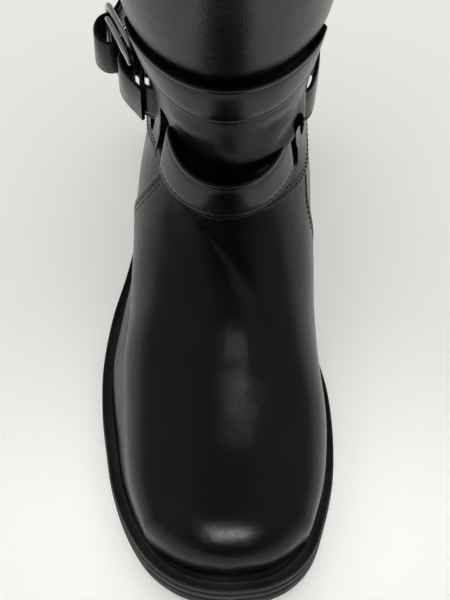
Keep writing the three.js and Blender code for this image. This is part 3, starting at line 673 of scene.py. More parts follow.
# Creases and folds. Each is a soft line on the leather with a height: ridges are
# positive, troughs negative, and a fold may have its two sides of different widths.
CREASE_TABLE = [
    # height, half width on its left, on its right as seen from the front, line
    (0.8, 8, 1.8, [
        (-20.9, -91.4, 103.4), (-17.2, -96.5, 102.2), (-12.5, -102.6, 100.2), (-8.3, -108.2, 96.9),
        (-3.7, -113.2, 93.6), (0.9, -117, 91), (4, -121, 88.5),
    ]),
    (-0.95, 3.4, 5, [
        (-9, -103.5, 100), (-4, -109, 97), (-0.5, -113.2, 94), (4, -118, 90.3),
        (8, -123, 86.8), (12, -128, 83.4), (15, -133.5, 80), (16, -139, 78),
        (16.2, -146, 75.5), (15, -152, 74),
    ]),
    (-0.2, 5, 6, [(-10, -141, 78), (-2, -144, 77.5), (5, -146, 76.8), (12, -145.5, 76)]),
    (0.7, 8, 12, [
        (-10, -157, 73), (-3, -156, 73.5), (5, -155.5, 73.8), (12, -156, 73),
        (19, -158, 71),
    ]),
    (0.5, 6, 6, [
        (15.2, -95.8, 105.8), (19.3, -101.2, 97.8), (25.1, -106.3, 88.9), (28.2, -114.6, 80.2),
    ]),
    (4.6, 16, 8, [
        (36, -52, 131), (31, -63, 129), (25, -73, 128), (17, -81, 128),
        (8, -86, 128.5), (-4, -88, 129),
    ]),
    (-0.9, 4, 4, [(33, -55, 142), (29, -66, 143.5), (23.5, -75, 146.5), (16, -82.5, 150)]),
    (0.6, 4, 5, [(30, -66, 150), (24, -75.5, 153), (17, -82, 156), (8, -86, 158)]),
    (0.9, 3, 4, [(34.4, -56.1, 133), (30.8, -62.6, 130), (27.1, -71.5, 128.7), (20, -79.2, 125)]),
    (-0.8, 3.5, 3.5, [(33, -62, 139), (28, -70, 137), (24, -76, 135.5), (18, -81, 134)]),
    (0.7, 3, 4, [(32, -64, 147), (29.1, -69.7, 144.5), (24.5, -76.2, 145.5), (18, -81.5, 146)]),
    (-0.6, 4, 5, [(-29, -68, 140), (-24, -76, 137.5), (-17, -82, 137), (-9, -85, 138.5)]),
    (0.6, 5, 5, [(-27, -71, 148), (-21, -79, 146), (-13, -84, 147), (-5, -86, 149)]),
    (-0.4, 6, 6, [(-20, -94, 104), (-22, -99, 98), (-23, -106, 92)]),
    (-0.4, 7, 7, [(26, -82, 150), (17, -86, 156), (6, -88, 159), (-6, -87, 159), (-16, -84, 155)]),
    (-0.8, 6, 6, [(-36, -28, 142), (-38, -10, 140), (-34, 8, 141), (-25, 20, 143)]),
    (-0.7, 6, 6, [(36, -34, 146), (38, -14, 143), (34, 6, 142), (24, 20, 143)]),
    (-0.5, 9, 9, [(-30, -22, 196), (-36, -6, 200), (-33, 12, 203), (-20, 22, 204)]),
    (-0.5, 7, 7, [(-40, -40, 88), (-42, -25, 84), (-38, -8, 82), (-33, 6, 84)]),
    (-0.45, 7, 7, [(40, -42, 84), (40, -26, 80), (36, -8, 79), (31, 8, 82)]),
]
CREASES = [
    {"line": line, "height": height, "left": left, "right": right}
    for height, left, right, line in CREASE_TABLE
]


def crease_height(points):
    """The height of all creases together, and a share from 0 to 1 that marks the folded leather."""
    flat = points.reshape(-1, 3)
    total = np.zeros(len(flat))
    mark = np.zeros(len(flat))
    for crease in CREASES:
        line = evenly(smooth_line(crease["line"], 10), 40)
        reach = 3 * max(crease["left"], crease["right"])
        near = np.flatnonzero(
            (flat > line.min(axis=0) - reach).all(axis=1) & (flat < line.max(axis=0) + reach).all(axis=1)
        )
        if not len(near):
            continue
        gap = flat[near][:, None, :] - line[None, :, :]
        far = np.linalg.norm(gap, axis=2)
        k = far.argmin(axis=1)
        ahead = line[np.minimum(k + 1, len(line) - 1)] - line[np.maximum(k - 1, 0)]
        offset = gap[np.arange(len(near)), k]
        facing = np.cross(ahead, [0.0, -0.6, 0.8])
        side = (offset * facing).sum(axis=1)
        width = np.where(side < 0, crease["right"], crease["left"])
        taper = np.sin(math.pi * np.clip((k + 0.5) / len(line), 0, 1)) ** 0.6
        swell = np.exp(-((far[np.arange(len(near)), k] / width) ** 2)) * taper
        total[near] += crease["height"] * swell
        mark[near] = np.maximum(mark[near], swell * min(1, abs(crease["height"])))
    return total.reshape(points.shape[:-1]), mark.reshape(points.shape[:-1])


# Level rings of the upper, bearings round the shaft, and the straps' routes, as in the solids
SHAFT_AXIS = (0.01 * BALL_WIDTH, float(y_of(0.245)))
LOWER_SLOTS = {"lateral": (-40.5, -66), "medial": (40.5, 63)}
UPPER_SLOTS = {"lateral": (-74, -104), "medial": (68, 98)}


def level_ring(z):
    turns = np.linspace(0, 2 * math.pi, 360, endpoint=False)
    low = np.full(len(turns), float(ANKLE_ROW))
    high = np.full(len(turns), float(LAST_ROW))
    for _ in range(26):
        half = (low + high) / 2
        under = on_slices(slices(half), turns)[:, 2] < z
        low = np.where(under, half, low)
        high = np.where(under, high, half)
    return on_slices(slices(low), turns)


def bearing_of(points):
    return np.arctan2(points[:, 0] - SHAFT_AXIS[0], SHAFT_AXIS[1] - points[:, 1])


def on_ring(ring, degrees):
    """Points of a level ring at bearings, and the way out from each."""
    bearing = np.unwrap(bearing_of(ring))
    if bearing[-1] < bearing[0]:
        ring, bearing = ring[::-1], bearing[::-1]
    wide = np.concatenate([ring, ring, ring])
    turn = np.concatenate([bearing - 2 * math.pi, bearing, bearing + 2 * math.pi])
    target = np.radians(np.atleast_1d(degrees))
    at = np.stack([np.interp(target, turn, wide[:, c]) for c in range(3)], axis=1)
    spread = np.radians(3)
    a = np.stack([np.interp(target - spread, turn, wide[:, c]) for c in (0, 1)], axis=1)
    b = np.stack([np.interp(target + spread, turn, wide[:, c]) for c in (0, 1)], axis=1)
    step = b - a
    out = np.stack([step[:, 1], -step[:, 0]], axis=1)
    return at, out / np.linalg.norm(out, axis=1, keepdims=True)


def slot_places():
    """Middle, sideways and up directions of each slot."""
    places = []
    for z, slots in ((LOWER_STRAP_Z, LOWER_SLOTS), (UPPER_STRAP_Z, UPPER_SLOTS)):
        middle = z + STRAP_WIDTH / 2
        near = STRAP_WIDTH * 0.375
        rings = [level_ring(h) for h in (middle, middle + near, middle - near)]
        for degrees in (*slots["lateral"], *slots["medial"]):
            at, out = on_ring(rings[0], degrees)
            up = on_ring(rings[1], degrees)[0][0] - on_ring(rings[2], degrees)[0][0]
            up /= np.linalg.norm(up)
            sideways = np.cross([out[0][0], out[0][1], 0], up)
            sideways /= np.linalg.norm(sideways)
            places.append((at[0], sideways, up))
    return places


SLOTS = slot_places()
FRONT_SLOTS = ((0, -1), (2, 1), (4, -1), (6, 1))  # which slot, and its front edge's side
SLOT_PRESS = 1.1
SLOT_SWELL = 0.5


def slot_rims():
    """The leather is pressed in before a front slot, where the strap bears on it, and swells behind."""
    rims = []
    reach = STRAP_WIDTH / 2 - 1
    for k, front in FRONT_SLOTS:
        at, sideways, up = SLOTS[k]
        for sign, height in ((front, -SLOT_PRESS), (-front, SLOT_SWELL)):
            edge = at + sideways * sign * (SLOT_WIDTH / 2 + 0.8)
            line = [tuple(edge + up * reach * t) for t in (-1, -0.5, 0, 0.5, 1)]
            rims.append({"line": line, "height": height, "left": 4.5, "right": 4.5})
    return rims


CREASES += slot_rims()


def slot_distance(points, place):
    """Distance from the rim of a slot, negative inside it, and the way to the rim."""
    at, sideways, up = place
    gap = points - at
    u = gap @ sideways
    v = gap @ up
    reach = (STRAP_WIDTH + 2 * SLOT_PLAY - SLOT_WIDTH) / 2
    w = np.sign(v) * np.maximum(np.abs(v) - reach, 0)
    far = np.hypot(u, w)
    away = np.abs(gap @ np.cross(sideways, up)) > 14
    distance = np.where(away, 99.0, far - SLOT_WIDTH / 2)
    safe = np.maximum(far, 1e-6)
    way = (u / safe)[..., None] * sideways + (w / safe)[..., None] * up
    return distance, way


# Panels of the upper
EDGE_ROWS = (0, 0.12, 0.3, 0.6, 1.1, 1.8)  # close rows behind a cut edge, in millimetres
EDGE_FALL = (0.32, 0.2, 0.1, 0.04, 0.01, 0)  # how far the surface falls off at each
EDGE_BAND = 2.6  # where the even rows begin
VAMP_STITCHES = (3.4, 6.2)  # distances in from the cut edges
SHAFT_STITCHES = (2.2, 4.6)
COLLAR_STITCH = 3.5
PANEL_DEPTH = 1.1  # how thick the vamp and the quarter are
SHAFT_STEP = 1.25


def panel_runs(start, end, spacing, edge_start, edge_end):
    """Rows of distances along the columns, close together by the cut edges."""
    inner_start = start + (EDGE_BAND if edge_start else 0)
    inner_end = end - (EDGE_BAND if edge_end else 0)
    rows = max(6, int(np.nanmax(inner_end - inner_start) / spacing))
    t = np.linspace(0, 1, rows)[:, None]
    runs = inner_start + (inner_end - inner_start) * t
    fall = np.zeros(rows)
    if edge_start:
        head = [start + d for d in EDGE_ROWS]
        runs = np.concatenate([head, runs])
        fall = np.concatenate([EDGE_FALL, fall])
    if edge_end:
        tail = [end - d for d in EDGE_ROWS[::-1]]
        runs = np.concatenate([runs, tail])
        fall = np.concatenate([fall, EDGE_FALL[::-1]])
    return runs, fall


def stitch_groove(runs, edge, distances, depth=0.28, width=0.55):
    """Soft grooves that run along a cut edge, each a distance in from it."""
    gap = np.abs(runs - edge)
    return sum(-depth * np.exp(-(((gap - d) / width) ** 2)) for d in distances)


def shell(name, runs, lift, depth, looks, stands_for, keep=None, holes=False):
    """A closed piece of leather: its outer face, its inner face and the cut edges between them."""
    base, normals = at_run(runs)
    height, mark = crease_height(base)
    outer = base + normals * (lift + height)[..., None]
    rows, count = runs.shape
    points = outer.reshape(-1, 3)
    flat_normals = normals.reshape(-1, 3)
    i = np.arange(rows - 1)[:, None] * count
    j = np.arange(count)[None, :]
    k = (j + 1) % count
    faces = np.stack([i + j, i + k, i + count + k, i + count + j], axis=-1).reshape(-1, 4)
    middle = points[faces].mean(axis=1)
    visible = middle[:, 2] > welt_top(middle[:, 1]) - 0.6
    if keep is not None:
        visible &= keep[faces % count].all(axis=1)
    if holes:
        for place in SLOTS:
            distance, way = slot_distance(points, place)
            inside = distance < 0
            cut = inside[faces].all(axis=1)
            visible &= ~cut
            rim = np.zeros(len(points), bool)
            rim[faces[~cut].ravel()] = True
            rim &= inside
            points[rim] += way[rim] * (-distance[rim])[:, None]
    faces = faces[visible]
    inner = points - flat_normals * depth.reshape(-1)[:, None]
    used, compact = np.unique(faces, return_inverse=True)
    faces = compact.reshape(-1, 4)
    size = len(used)
    edges = np.concatenate([faces[:, [a, (a + 1) % 4]] for a in range(4)])
    key = np.sort(edges, axis=1)
    _, first, times = np.unique(key, axis=0, return_index=True, return_counts=True)
    rim_edges = edges[first[times == 1]]
    sides = np.stack(
        [rim_edges[:, 1], rim_edges[:, 0], rim_edges[:, 0] + size, rim_edges[:, 1] + size], axis=1
    )
    all_points = np.concatenate([points[used], inner[used]])
    all_faces = np.concatenate([faces, faces[:, ::-1] + size, sides])
    face_looks = np.concatenate([
        np.zeros(len(faces)), np.ones(len(faces)), np.zeros(len(sides))
    ])
    folds = np.concatenate([mark.reshape(-1)[used]] * 2)
    return piece(
        name, all_points, outward(all_points, all_faces.tolist()), looks,
        stands_for, sharp=45, face_looks=face_looks, marks={"fold": folds},
    )


LAP = 6  # how far a lower panel reaches in under an upper one


def vamp(looks):
    start = np.zeros(AROUND)
    end = np.minimum(SEAMS["vamp"], SEAMS["shaft"] + LAP)
    runs, fall = panel_runs(start, end, GRAIN_STEP, False, True)
    lift = -np.repeat(fall[:, None], AROUND, axis=1)
    open_seam = (SEAMS["vamp"] < SEAMS["shaft"] + LAP)[None, :]
    lift = lift + np.where(open_seam, stitch_groove(runs, end, VAMP_STITCHES), 0)
    lift = lift + np.where(open_seam, 0.35 * np.exp(-(((end - runs - 1.7) / 1.6) ** 2)), 0)
    return shell("vamp", runs, lift, np.full(runs.shape, PANEL_DEPTH), looks, ["upper"])


def quarter(looks):
    start = np.minimum(SEAMS["vamp"], SEAMS["shaft"] + LAP) - 8
    end = SEAMS["shaft"] + LAP
    shown = SEAMS["vamp"] < SEAMS["shaft"] + 3
    runs, fall = panel_runs(start, np.maximum(end, start + 4), GRAIN_STEP, False, False)
    lift = np.full(runs.shape, -QUARTER_DROP)
    return shell("quarter", runs, lift, np.full(runs.shape, PANEL_DEPTH), looks, ["upper"], keep=shown)


def shaft(looks):
    start = SEAMS["shaft"]
    end = SEAMS["collar"]
    runs, fall = panel_runs(start, end, SHAFT_STEP, True, True)
    lift = PANEL - np.repeat(fall[:, None], AROUND, axis=1)
    lift = lift + stitch_groove(runs, start, SHAFT_STITCHES)
    lift = lift + stitch_groove(runs, end, (COLLAR_STITCH,))
    thick = ease((runs - start - 3) / 6)
    depth = PANEL + WALL * thick - 0.6 * (1 - thick)
    return shell("shaft", runs, lift, depth, looks, ["upper"], holes=True)


# Straps
OUTSIDE = PANEL + STRAP_PLAY + STRAP_THICK / 2
INSIDE = -(WALL + LINING_PLAY + STRAP_THICK / 2)
FRONT_LEAN = {"lower": 9, "upper": -1.2}
FRONT_SLACK = 2.6
BACK_SLACK = 3  # how far the upper strap stands off behind
LOWER_SLACK = {"lateral": 4.5, "medial": 0.9}  # the same of the lower strap, on its two sides
STRAP_FACE = [
    # share of the width, share of half the thickness, extra height outward
    (0.0, 0.35, 0), (0.012, 0.75, 0), (0.035, 0.97, 0), (0.065, 1, 0.02), (0.095, 1, -0.14),
    (0.11, 1, -0.2), (0.125, 1, -0.14), (0.16, 1, 0.06), (0.3, 1, 0.16), (0.5, 1, 0.2),
    (0.7, 1, 0.16), (0.84, 1, 0.06), (0.875, 1, -0.14), (0.89, 1, -0.2), (0.905, 1, -0.14),
    (0.935, 1, 0.02), (0.965, 0.97, 0), (0.988, 0.75, 0), (1.0, 0.35, 0),
    (1.0, -0.35, 0), (0.988, -0.75, 0), (0.96, -1, 0), (0.5, -1, 0), (0.04, -1, 0),
    (0.012, -0.75, 0), (0.0, -0.35, 0),
]


def slot_half(ring, degrees):
    at, _ = on_ring(ring, degrees)
    radius = math.hypot(at[0][0] - SHAFT_AXIS[0], at[0][1] - SHAFT_AXIS[1])
    return math.degrees(SLOT_WIDTH / 2 / radius)


SLOT_TURNS = [
    # how early in its slot a strap turns, how quickly, as shares of half the slot
    (0.62, 0.36),
    (0, 1),
]
SLOT_SHARE = 0.88  # how much of a slot a strap may use to turn
PRESS_AHEAD = 5  # degrees in front of the slot where a strap is drawn down most
PRESS_SPREAD = 8  # degrees of the shaft over which a strap is drawn down to its slot


def weave(ring, slots, stand_off):
    """How far in or out a strap is at bearings, given the slots that it has passed."""
    half = {side: [SLOT_SHARE * slot_half(ring, d) for d in slots[side]] for side in slots}

    def stand(degrees):
        size = np.abs(degrees)
        steps = []
        for k, (early, quick) in enumerate(SLOT_TURNS):
            middle = np.where(degrees < 0, abs(slots["lateral"][k]), abs(slots["medial"][k]))
            wide = np.where(degrees < 0, half["lateral"][k], half["medial"][k])
            begin = middle - wide * (early + quick)
            steps.append(ease((size - begin) / (2 * wide * quick)))
        inward, outward_step = steps
        rim = np.where(degrees < 0, abs(slots["lateral"][0]), abs(slots["medial"][0])) - PRESS_AHEAD
        pressed = SLOT_PRESS * np.exp(-(((size - rim) / PRESS_SPREAD) ** 2))
        through = mix(OUTSIDE - pressed, INSIDE, inward)
        return mix(through, OUTSIDE + stand_off(degrees) * outward_step, outward_step)

    return stand


def wall_run(z, bearings, stand, lean):
    """Edge points of a strap along the wall: its lower edge and its upper edge."""
    low, high = level_ring(z), level_ring(z + STRAP_WIDTH)
    foot, foot_out = on_ring(low, bearings)
    head, head_out = on_ring(high, bearings)
    foot[:, :2] += foot_out * stand(bearings)[:, None]
    head[:, :2] += head_out * (stand(bearings) + lean(bearings))[:, None]
    foot[:, 2] = z
    head[:, 2] = z + STRAP_WIDTH
    return foot, head


def strap_mesh(name, low, high, look, stands_for, loop):
    """A strap with a crowned face, rounded edges and a pressed line along each edge."""
    def side(line):
        if loop:
            step = np.roll(line, -1, axis=0) - np.roll(line, 1, axis=0)
        else:
            step = np.gradient(line, axis=0)
        out = np.stack([step[:, 1], -step[:, 0], np.zeros(len(step))], axis=1)
        return out / np.linalg.norm(out, axis=1, keepdims=True)

    low_out, high_out = side(low), side(high)
    rows = []
    for across, up, extra in STRAP_FACE:
        way = mix(low_out, high_out, across)
        offset = up * STRAP_THICK / 2 + (extra if up > 0 else 0)
        rows.append(mix(low, high, across) + way * offset)
    grid = np.stack(rows, axis=1)
    count = grid.shape[1]
    points = grid.reshape(-1, 3)
    faces = ring_faces(len(low), count, wrap=loop)
    if not loop:
        faces.append(tuple(range(count))[::-1])
        faces.append(tuple((len(low) - 1) * count + i for i in range(count)))
    made = piece(name, points, outward(points, faces), [look], stands_for, sharp=60)
    return made, grid


def upper_strap(look):
    ring = level_ring(UPPER_STRAP_Z)

    def off(degrees):
        size = np.abs(degrees)
        return BACK_SLACK * ease((size - 95) / 20) * ease((180 - size) / 60)

    woven = weave(ring, UPPER_SLOTS, off)

    def stand(degrees):
        return woven(degrees) + FRONT_SLACK * ease(1 - np.abs(degrees) / 55)

    def lean(degrees):
        return FRONT_LEAN["upper"] * ease(1 - np.abs(degrees) / 60)

    bearings = np.linspace(-180, 180, 420, endpoint=False)
    low, high = wall_run(UPPER_STRAP_Z, bearings, stand, lean)
    return strap_mesh("strap_upper_leather", low, high, look, ["strap_upper"], True)


# Ring buckle
RING_ANGLE = math.radians(24)
FRONT_BAR = (-0.395 * BALL_WIDTH, float(y_of(0.25)))
RING_STEP = (0.262 * RING_REACH, 0.124 * RING_REACH)
RING_ALONG = (-math.sin(RING_ANGLE), math.cos(RING_ANGLE))
RING_OUT = (-RING_ALONG[1], RING_ALONG[0])


def by_ring(along, out):
    return (
        FRONT_BAR[0] + along * RING_ALONG[0] + out * RING_OUT[0],
        FRONT_BAR[1] + along * RING_ALONG[1] + out * RING_OUT[1],
    )


def ring(name, start, out, look, stands_for):
    """A rectangular loop of round wire with bent corners."""
    half = STRAP_WIDTH / 2 + RING_WIRE + RING_PLAY
    middle = LOWER_STRAP_Z + STRAP_WIDTH / 2
    corners = [(0, -half), (RING_REACH, -half), (RING_REACH, half), (0, half)]
    path = []
    for k, here in enumerate(corners):
        here = np.array(here, float)
        before = np.array(corners[k - 1], float)
        after = np.array(corners[(k + 1) % 4], float)
        a = here + (before - here) / np.linalg.norm(before - here) * RING_BEND
        b = here + (after - here) / np.linalg.norm(after - here) * RING_BEND
        c = after + (here - after) / np.linalg.norm(here - after) * RING_BEND
        path += [(1 - t) ** 2 * a + 2 * t * (1 - t) * here + t * t * b for t in np.linspace(0, 1, 10)]
        path += [mix(b, c, t) for t in np.linspace(0, 1, 12)[1:-1]]
    line = np.array([(*by_ring(start + u, out), middle + v) for u, v in path])
    face = np.array([RING_OUT[0], RING_OUT[1], 0.0])
    step = np.roll(line, -1, axis=0) - np.roll(line, 1, axis=0)
    away = np.cross(step, face)
    away /= np.linalg.norm(away, axis=1, keepdims=True)
    turns = np.linspace(0, 2 * math.pi, 16, endpoint=False)
    rings = [
        line + RING_WIRE * (math.cos(turn) * away + math.sin(turn) * face) for turn in turns
    ]
    points = np.concatenate(rings)
    faces = outward(points, ring_faces(len(rings), len(line), wrap=True))
    return piece(name, points, faces, [look], stands_for)


# Free stretches of the lower strap, close to those of the solids
CHAPE_ROUTE = [
    # along, out, as shares of the rings' reach
    (-0.545, 0.02), (-0.345, 0.068), (-0.145, 0.124), (0.109, 0.135), (0.309, 0.058), (0.407, -0.116),
    (0.313, -0.276), (0.109, -0.24), (-0.109, -0.167),
]
BACK_ROUTE = [
    # along, side
    (0.059, 0.259), (0.031, 0.144), (0.021, 0), (0.035, -0.144), (0.073, -0.259),
    (0.122, -0.333), (0.161, -0.394), (0.187, -0.422), (0.205, -0.454), (0.207, -0.502),
    (0.191, -0.543), (0.166, -0.545), (0.151, -0.519), (0.147, -0.478), (0.129, -0.452),
    (0.101, -0.421), (0.077, -0.38), (0.058, -0.338),
]


def free_run(points, count):
    flat = evenly(smooth_line(points, 30), count)
    low = np.column_stack([flat, np.full(count, float(LOWER_STRAP_Z))])
    return low, low + [0, 0, STRAP_WIDTH]


def lower_strap(look):
    ring_line = level_ring(LOWER_STRAP_Z)

    def off(degrees):
        slack = np.where(degrees < 0, LOWER_SLACK["lateral"], LOWER_SLACK["medial"])
        return slack * ease((np.abs(degrees) - 60) / 30)

    stand = weave(ring_line, LOWER_SLOTS, off)

    def lean(degrees):
        return FRONT_LEAN["lower"] * ease(1 - np.abs(degrees) / 38)

    first = LOWER_SLOTS["lateral"][1] - slot_half(ring_line, LOWER_SLOTS["lateral"][1])
    bearings = np.linspace(first, 118, 260)
    wall = wall_run(LOWER_STRAP_Z, bearings, stand, lean)
    folded = [by_ring(a * RING_REACH, o * RING_REACH) for a, o in CHAPE_ROUTE]
    chape = free_run(folded, 70)
    back = free_run([(side * BALL_WIDTH, float(y_of(along))) for along, side in BACK_ROUTE], 220)
    low = np.concatenate([chape[0], wall[0], back[0]])
    high = np.concatenate([chape[1], wall[1], back[1]])
    low, high = settled(low, high)
    return strap_mesh("strap_lower_leather", low, high, look, ["strap_lower"], False)


def settled(low, high):
    """Evens out the small kinks where one stretch of strap meets the next."""
    def soften(line):
        line = evenly(line, 560)
        for _ in range(14):
            line[1:-1] = (line[:-2] + 2 * line[1:-1] + line[2:]) / 4
        return line

    return soften(low), soften(high)


# Stitches
STITCH_LENGTH = 2.1
STITCH_GAP = 0.8
THREAD = 0.3
THREAD_SIDES = 6
STITCH_PROFILE = [
    # share of its length, share of the thread's thickness, height
    (0.0, 0.25, -0.25), (0.2, 0.9, -0.02), (0.5, 1.0, 0.1), (0.8, 0.9, -0.02), (1.0, 0.25, -0.25),
]


def stitch_points(line, normals):
    """One low mound of thread for each stitch along a line on the surface."""
    run = np.concatenate([[0], np.cumsum(np.linalg.norm(np.diff(line, axis=0), axis=1))])
    count = int(run[-1] / (STITCH_LENGTH + STITCH_GAP))
    if count < 1:
        return np.zeros((0, 3)), []
    start = (np.arange(count) + 0.15) * (STITCH_LENGTH + STITCH_GAP)
    points, faces = [], []
    sides = np.linspace(0, 2 * math.pi, THREAD_SIDES, endpoint=False)

    def at(values, place):
        return np.stack([np.interp(place, run, values[:, c]) for c in range(3)], axis=-1)

    base = 0
    for s in start:
        a, b = at(line, s), at(line, s + STITCH_LENGTH)
        way = b - a
        length = np.linalg.norm(way)
        if length < 0.5 * STITCH_LENGTH:
            continue
        n = at(normals, s + STITCH_LENGTH / 2)
        n /= np.linalg.norm(n)
        across = np.cross(way / length, n)
        for t, fat, lift in STITCH_PROFILE:
            middle = a + way * t + n * lift
            for turn in sides:
                points.append(middle + THREAD * fat * (math.cos(turn) * across + math.sin(turn) * n))
        rows = len(STITCH_PROFILE)
        for r in range(rows - 1):
            for k in range(THREAD_SIDES):
                p = base + r * THREAD_SIDES + k
                q = base + r * THREAD_SIDES + (k + 1) % THREAD_SIDES
                faces.append((p, q, q + THREAD_SIDES, p + THREAD_SIDES))
        last = base + (rows - 1) * THREAD_SIDES
        faces.append(tuple(base + k for k in range(THREAD_SIDES))[::-1])
        faces.append(tuple(last + k for k in range(THREAD_SIDES)))
        base += rows * THREAD_SIDES
    return np.array(points).reshape(-1, 3), faces


def stitch_piece(name, lines, look):
    points, faces, base = [], [], 0
    for line, normals in lines:
        some, quads = stitch_points(line, normals)
        points.append(some)
        faces += [tuple(i + base for i in quad) for quad in quads]
        base += len(some)
    points = np.concatenate(points)
    return piece(name, points, faces, [look], sharp=70)


def column_line(run, lift, columns, holes=True):
    """A line of surface points at a distance along each of some columns, split where slots cut it."""
    runs = np.tile(run, (1, 1))
    points, normals = at_run(runs)
    height, _ = crease_height(points)
    points = points + normals * (lift + height)[..., None]
    points, normals = points[0][columns], normals[0][columns]
    keep = points[:, 2] > welt_top(points[:, 1]) + 0.4
    if holes:
        for place in SLOTS:
            keep &= slot_distance(points, place)[0] > 0.8
    lines, k = [], 0
    while k < len(points):
        if not keep[k]:
            k += 1
            continue
        stop = k
        while stop < len(points) and keep[stop]:
            stop += 1
        if stop - k > 3:
            lines.append((points[k:stop], normals[k:stop]))
        k = stop
    return lines


def upper_stitches(look):
    everywhere = np.concatenate([np.arange(AROUND), [0]])
    lines = []
    for gap in SHAFT_STITCHES:
        lines += column_line(SEAMS["shaft"] + gap, PANEL - 0.1, everywhere)
    lines += column_line(SEAMS["collar"] - COLLAR_STITCH, PANEL - 0.1, everywhere)
    open_seam = SEAMS["vamp"] < SEAMS["shaft"] - 0.5
    half = AROUND // 2
    for columns in (np.arange(1, half), np.arange(AROUND - 1, half, -1)):
        shown = columns[open_seam[columns]]
        for gap in VAMP_STITCHES:
            end = np.where(open_seam, SEAMS["vamp"], SEAMS["shaft"])
            lines += column_line(end - gap, -0.1, shown)
    return stitch_piece("stitches_upper", lines, look)


STRAP_GROOVE_ROW = 5  # the row of the strap's face that lies lowest in its pressed line


def strap_stitches(name, grid, look):
    """Stitches in the pressed line along the lower edge of a strap's outer face."""
    row = STRAP_GROOVE_ROW
    line = evenly(grid[:, row], 700)
    across = evenly(grid[:, row + 2], 700) - evenly(grid[:, row - 2], 700)
    step = np.gradient(line, axis=0)
    normal = np.cross(step, across)
    normal /= np.linalg.norm(normal, axis=1, keepdims=True)
    return stitch_piece(name, [(line - 0.02 * normal, normal)], look)


# Materials
def new_look(name):
    look = bpy.data.materials.new(name)
    look.use_nodes = True
    nodes = look.node_tree.nodes
    nodes.clear()
    out = nodes.new("ShaderNodeOutputMaterial")
    shader = nodes.new("ShaderNodeBsdfPrincipled")
    look.node_tree.links.new(shader.outputs["BSDF"], out.inputs["Surface"])
    return look, nodes, look.node_tree.links, shader


def fill(node, values):
    for label, value in values.items():
        node.inputs[label].default_value = value


def object_place(nodes):
    return nodes.new("ShaderNodeTexCoord").outputs["Object"]


def noise(nodes, links, place, scale, detail=3.0, rough=0.5):
    made = nodes.new("ShaderNodeTexNoise")
    fill(made, {"Scale": scale, "Detail": detail, "Roughness": rough})
    links.new(place, made.inputs["Vector"])
    return made.outputs["Fac"]


def ranged(nodes, links, value, low, high, start=0.3, stop=0.7):
    made = nodes.new("ShaderNodeMapRange")
    fill(made, {"From Min": start, "From Max": stop, "To Min": low, "To Max": high})
    links.new(value, made.inputs["Value"])
    return made.outputs["Result"]


def two_colours(nodes, links, value, dark, light):
    ramp = nodes.new("ShaderNodeValToRGB")
    ramp.color_ramp.elements[0].position = 0.3
    ramp.color_ramp.elements[0].color = (*dark, 1)
    ramp.color_ramp.elements[1].position = 0.75
    ramp.color_ramp.elements[1].color = (*light, 1)
    links.new(value, ramp.inputs["Fac"])
    return ramp.outputs["Color"]


def bumped(nodes, links, height, distance, strength, onto=None):
    bump = nodes.new("ShaderNodeBump")
    fill(bump, {"Strength": strength, "Distance": distance})
    links.new(height, bump.inputs["Height"])
    if onto is not None:
        links.new(onto, bump.inputs["Normal"])
    return bump.outputs["Normal"]


def grain_cells(nodes, links, place, scale):
    """Fine pebbles of grain: cells with soft creases between them."""
    shift = nodes.new("ShaderNodeTexNoise")
    shift.inputs["Scale"].default_value = scale * 0.6
    links.new(place, shift.inputs["Vector"])
    bend = nodes.new("ShaderNodeVectorMath")
    bend.operation = "MULTIPLY_ADD"
    bend.inputs[1].default_value = (0.35 / scale,) * 3
    links.new(shift.outputs["Color"], bend.inputs[0])
    links.new(place, bend.inputs[2])
    cells = nodes.new("ShaderNodeTexVoronoi")
    cells.feature = "SMOOTH_F1"
    fill(cells, {"Scale": scale, "Smoothness": 0.35})
    links.new(bend.outputs["Vector"], cells.inputs["Vector"])
    return cells.outputs["Distance"]


LEATHER_SPECULAR = 0.28


def leather_look(name, gloss, grain):
    """Glossy black leather: fine grain, slow waves in the surface, uneven polish."""
    look, nodes, links, shader = new_look(name)
    place = object_place(nodes)
    tone = two_colours(
        nodes, links, noise(nodes, links, place, 38, 4), (0.0022, 0.0018, 0.002), (0.0046, 0.004, 0.0043)
    )
    links.new(tone, shader.inputs["Base Color"])
    polish = ranged(nodes, links, noise(nodes, links, place, 55, 4, 0.6), gloss - 0.035, gloss + 0.06)
    links.new(polish, shader.inputs["Roughness"])
    slow = bumped(nodes, links, noise(nodes, links, place, 70, 2), 0.0009, 0.25)
    pores = bumped(nodes, links, grain_cells(nodes, links, place, 1150), 0.00022, grain, slow)
    fine = bumped(nodes, links, noise(nodes, links, place, 3200, 2), 0.00006, 0.35, pores)
    links.new(fine, shader.inputs["Normal"])
    fill(shader, {"Specular IOR Level": LEATHER_SPECULAR})
    return look


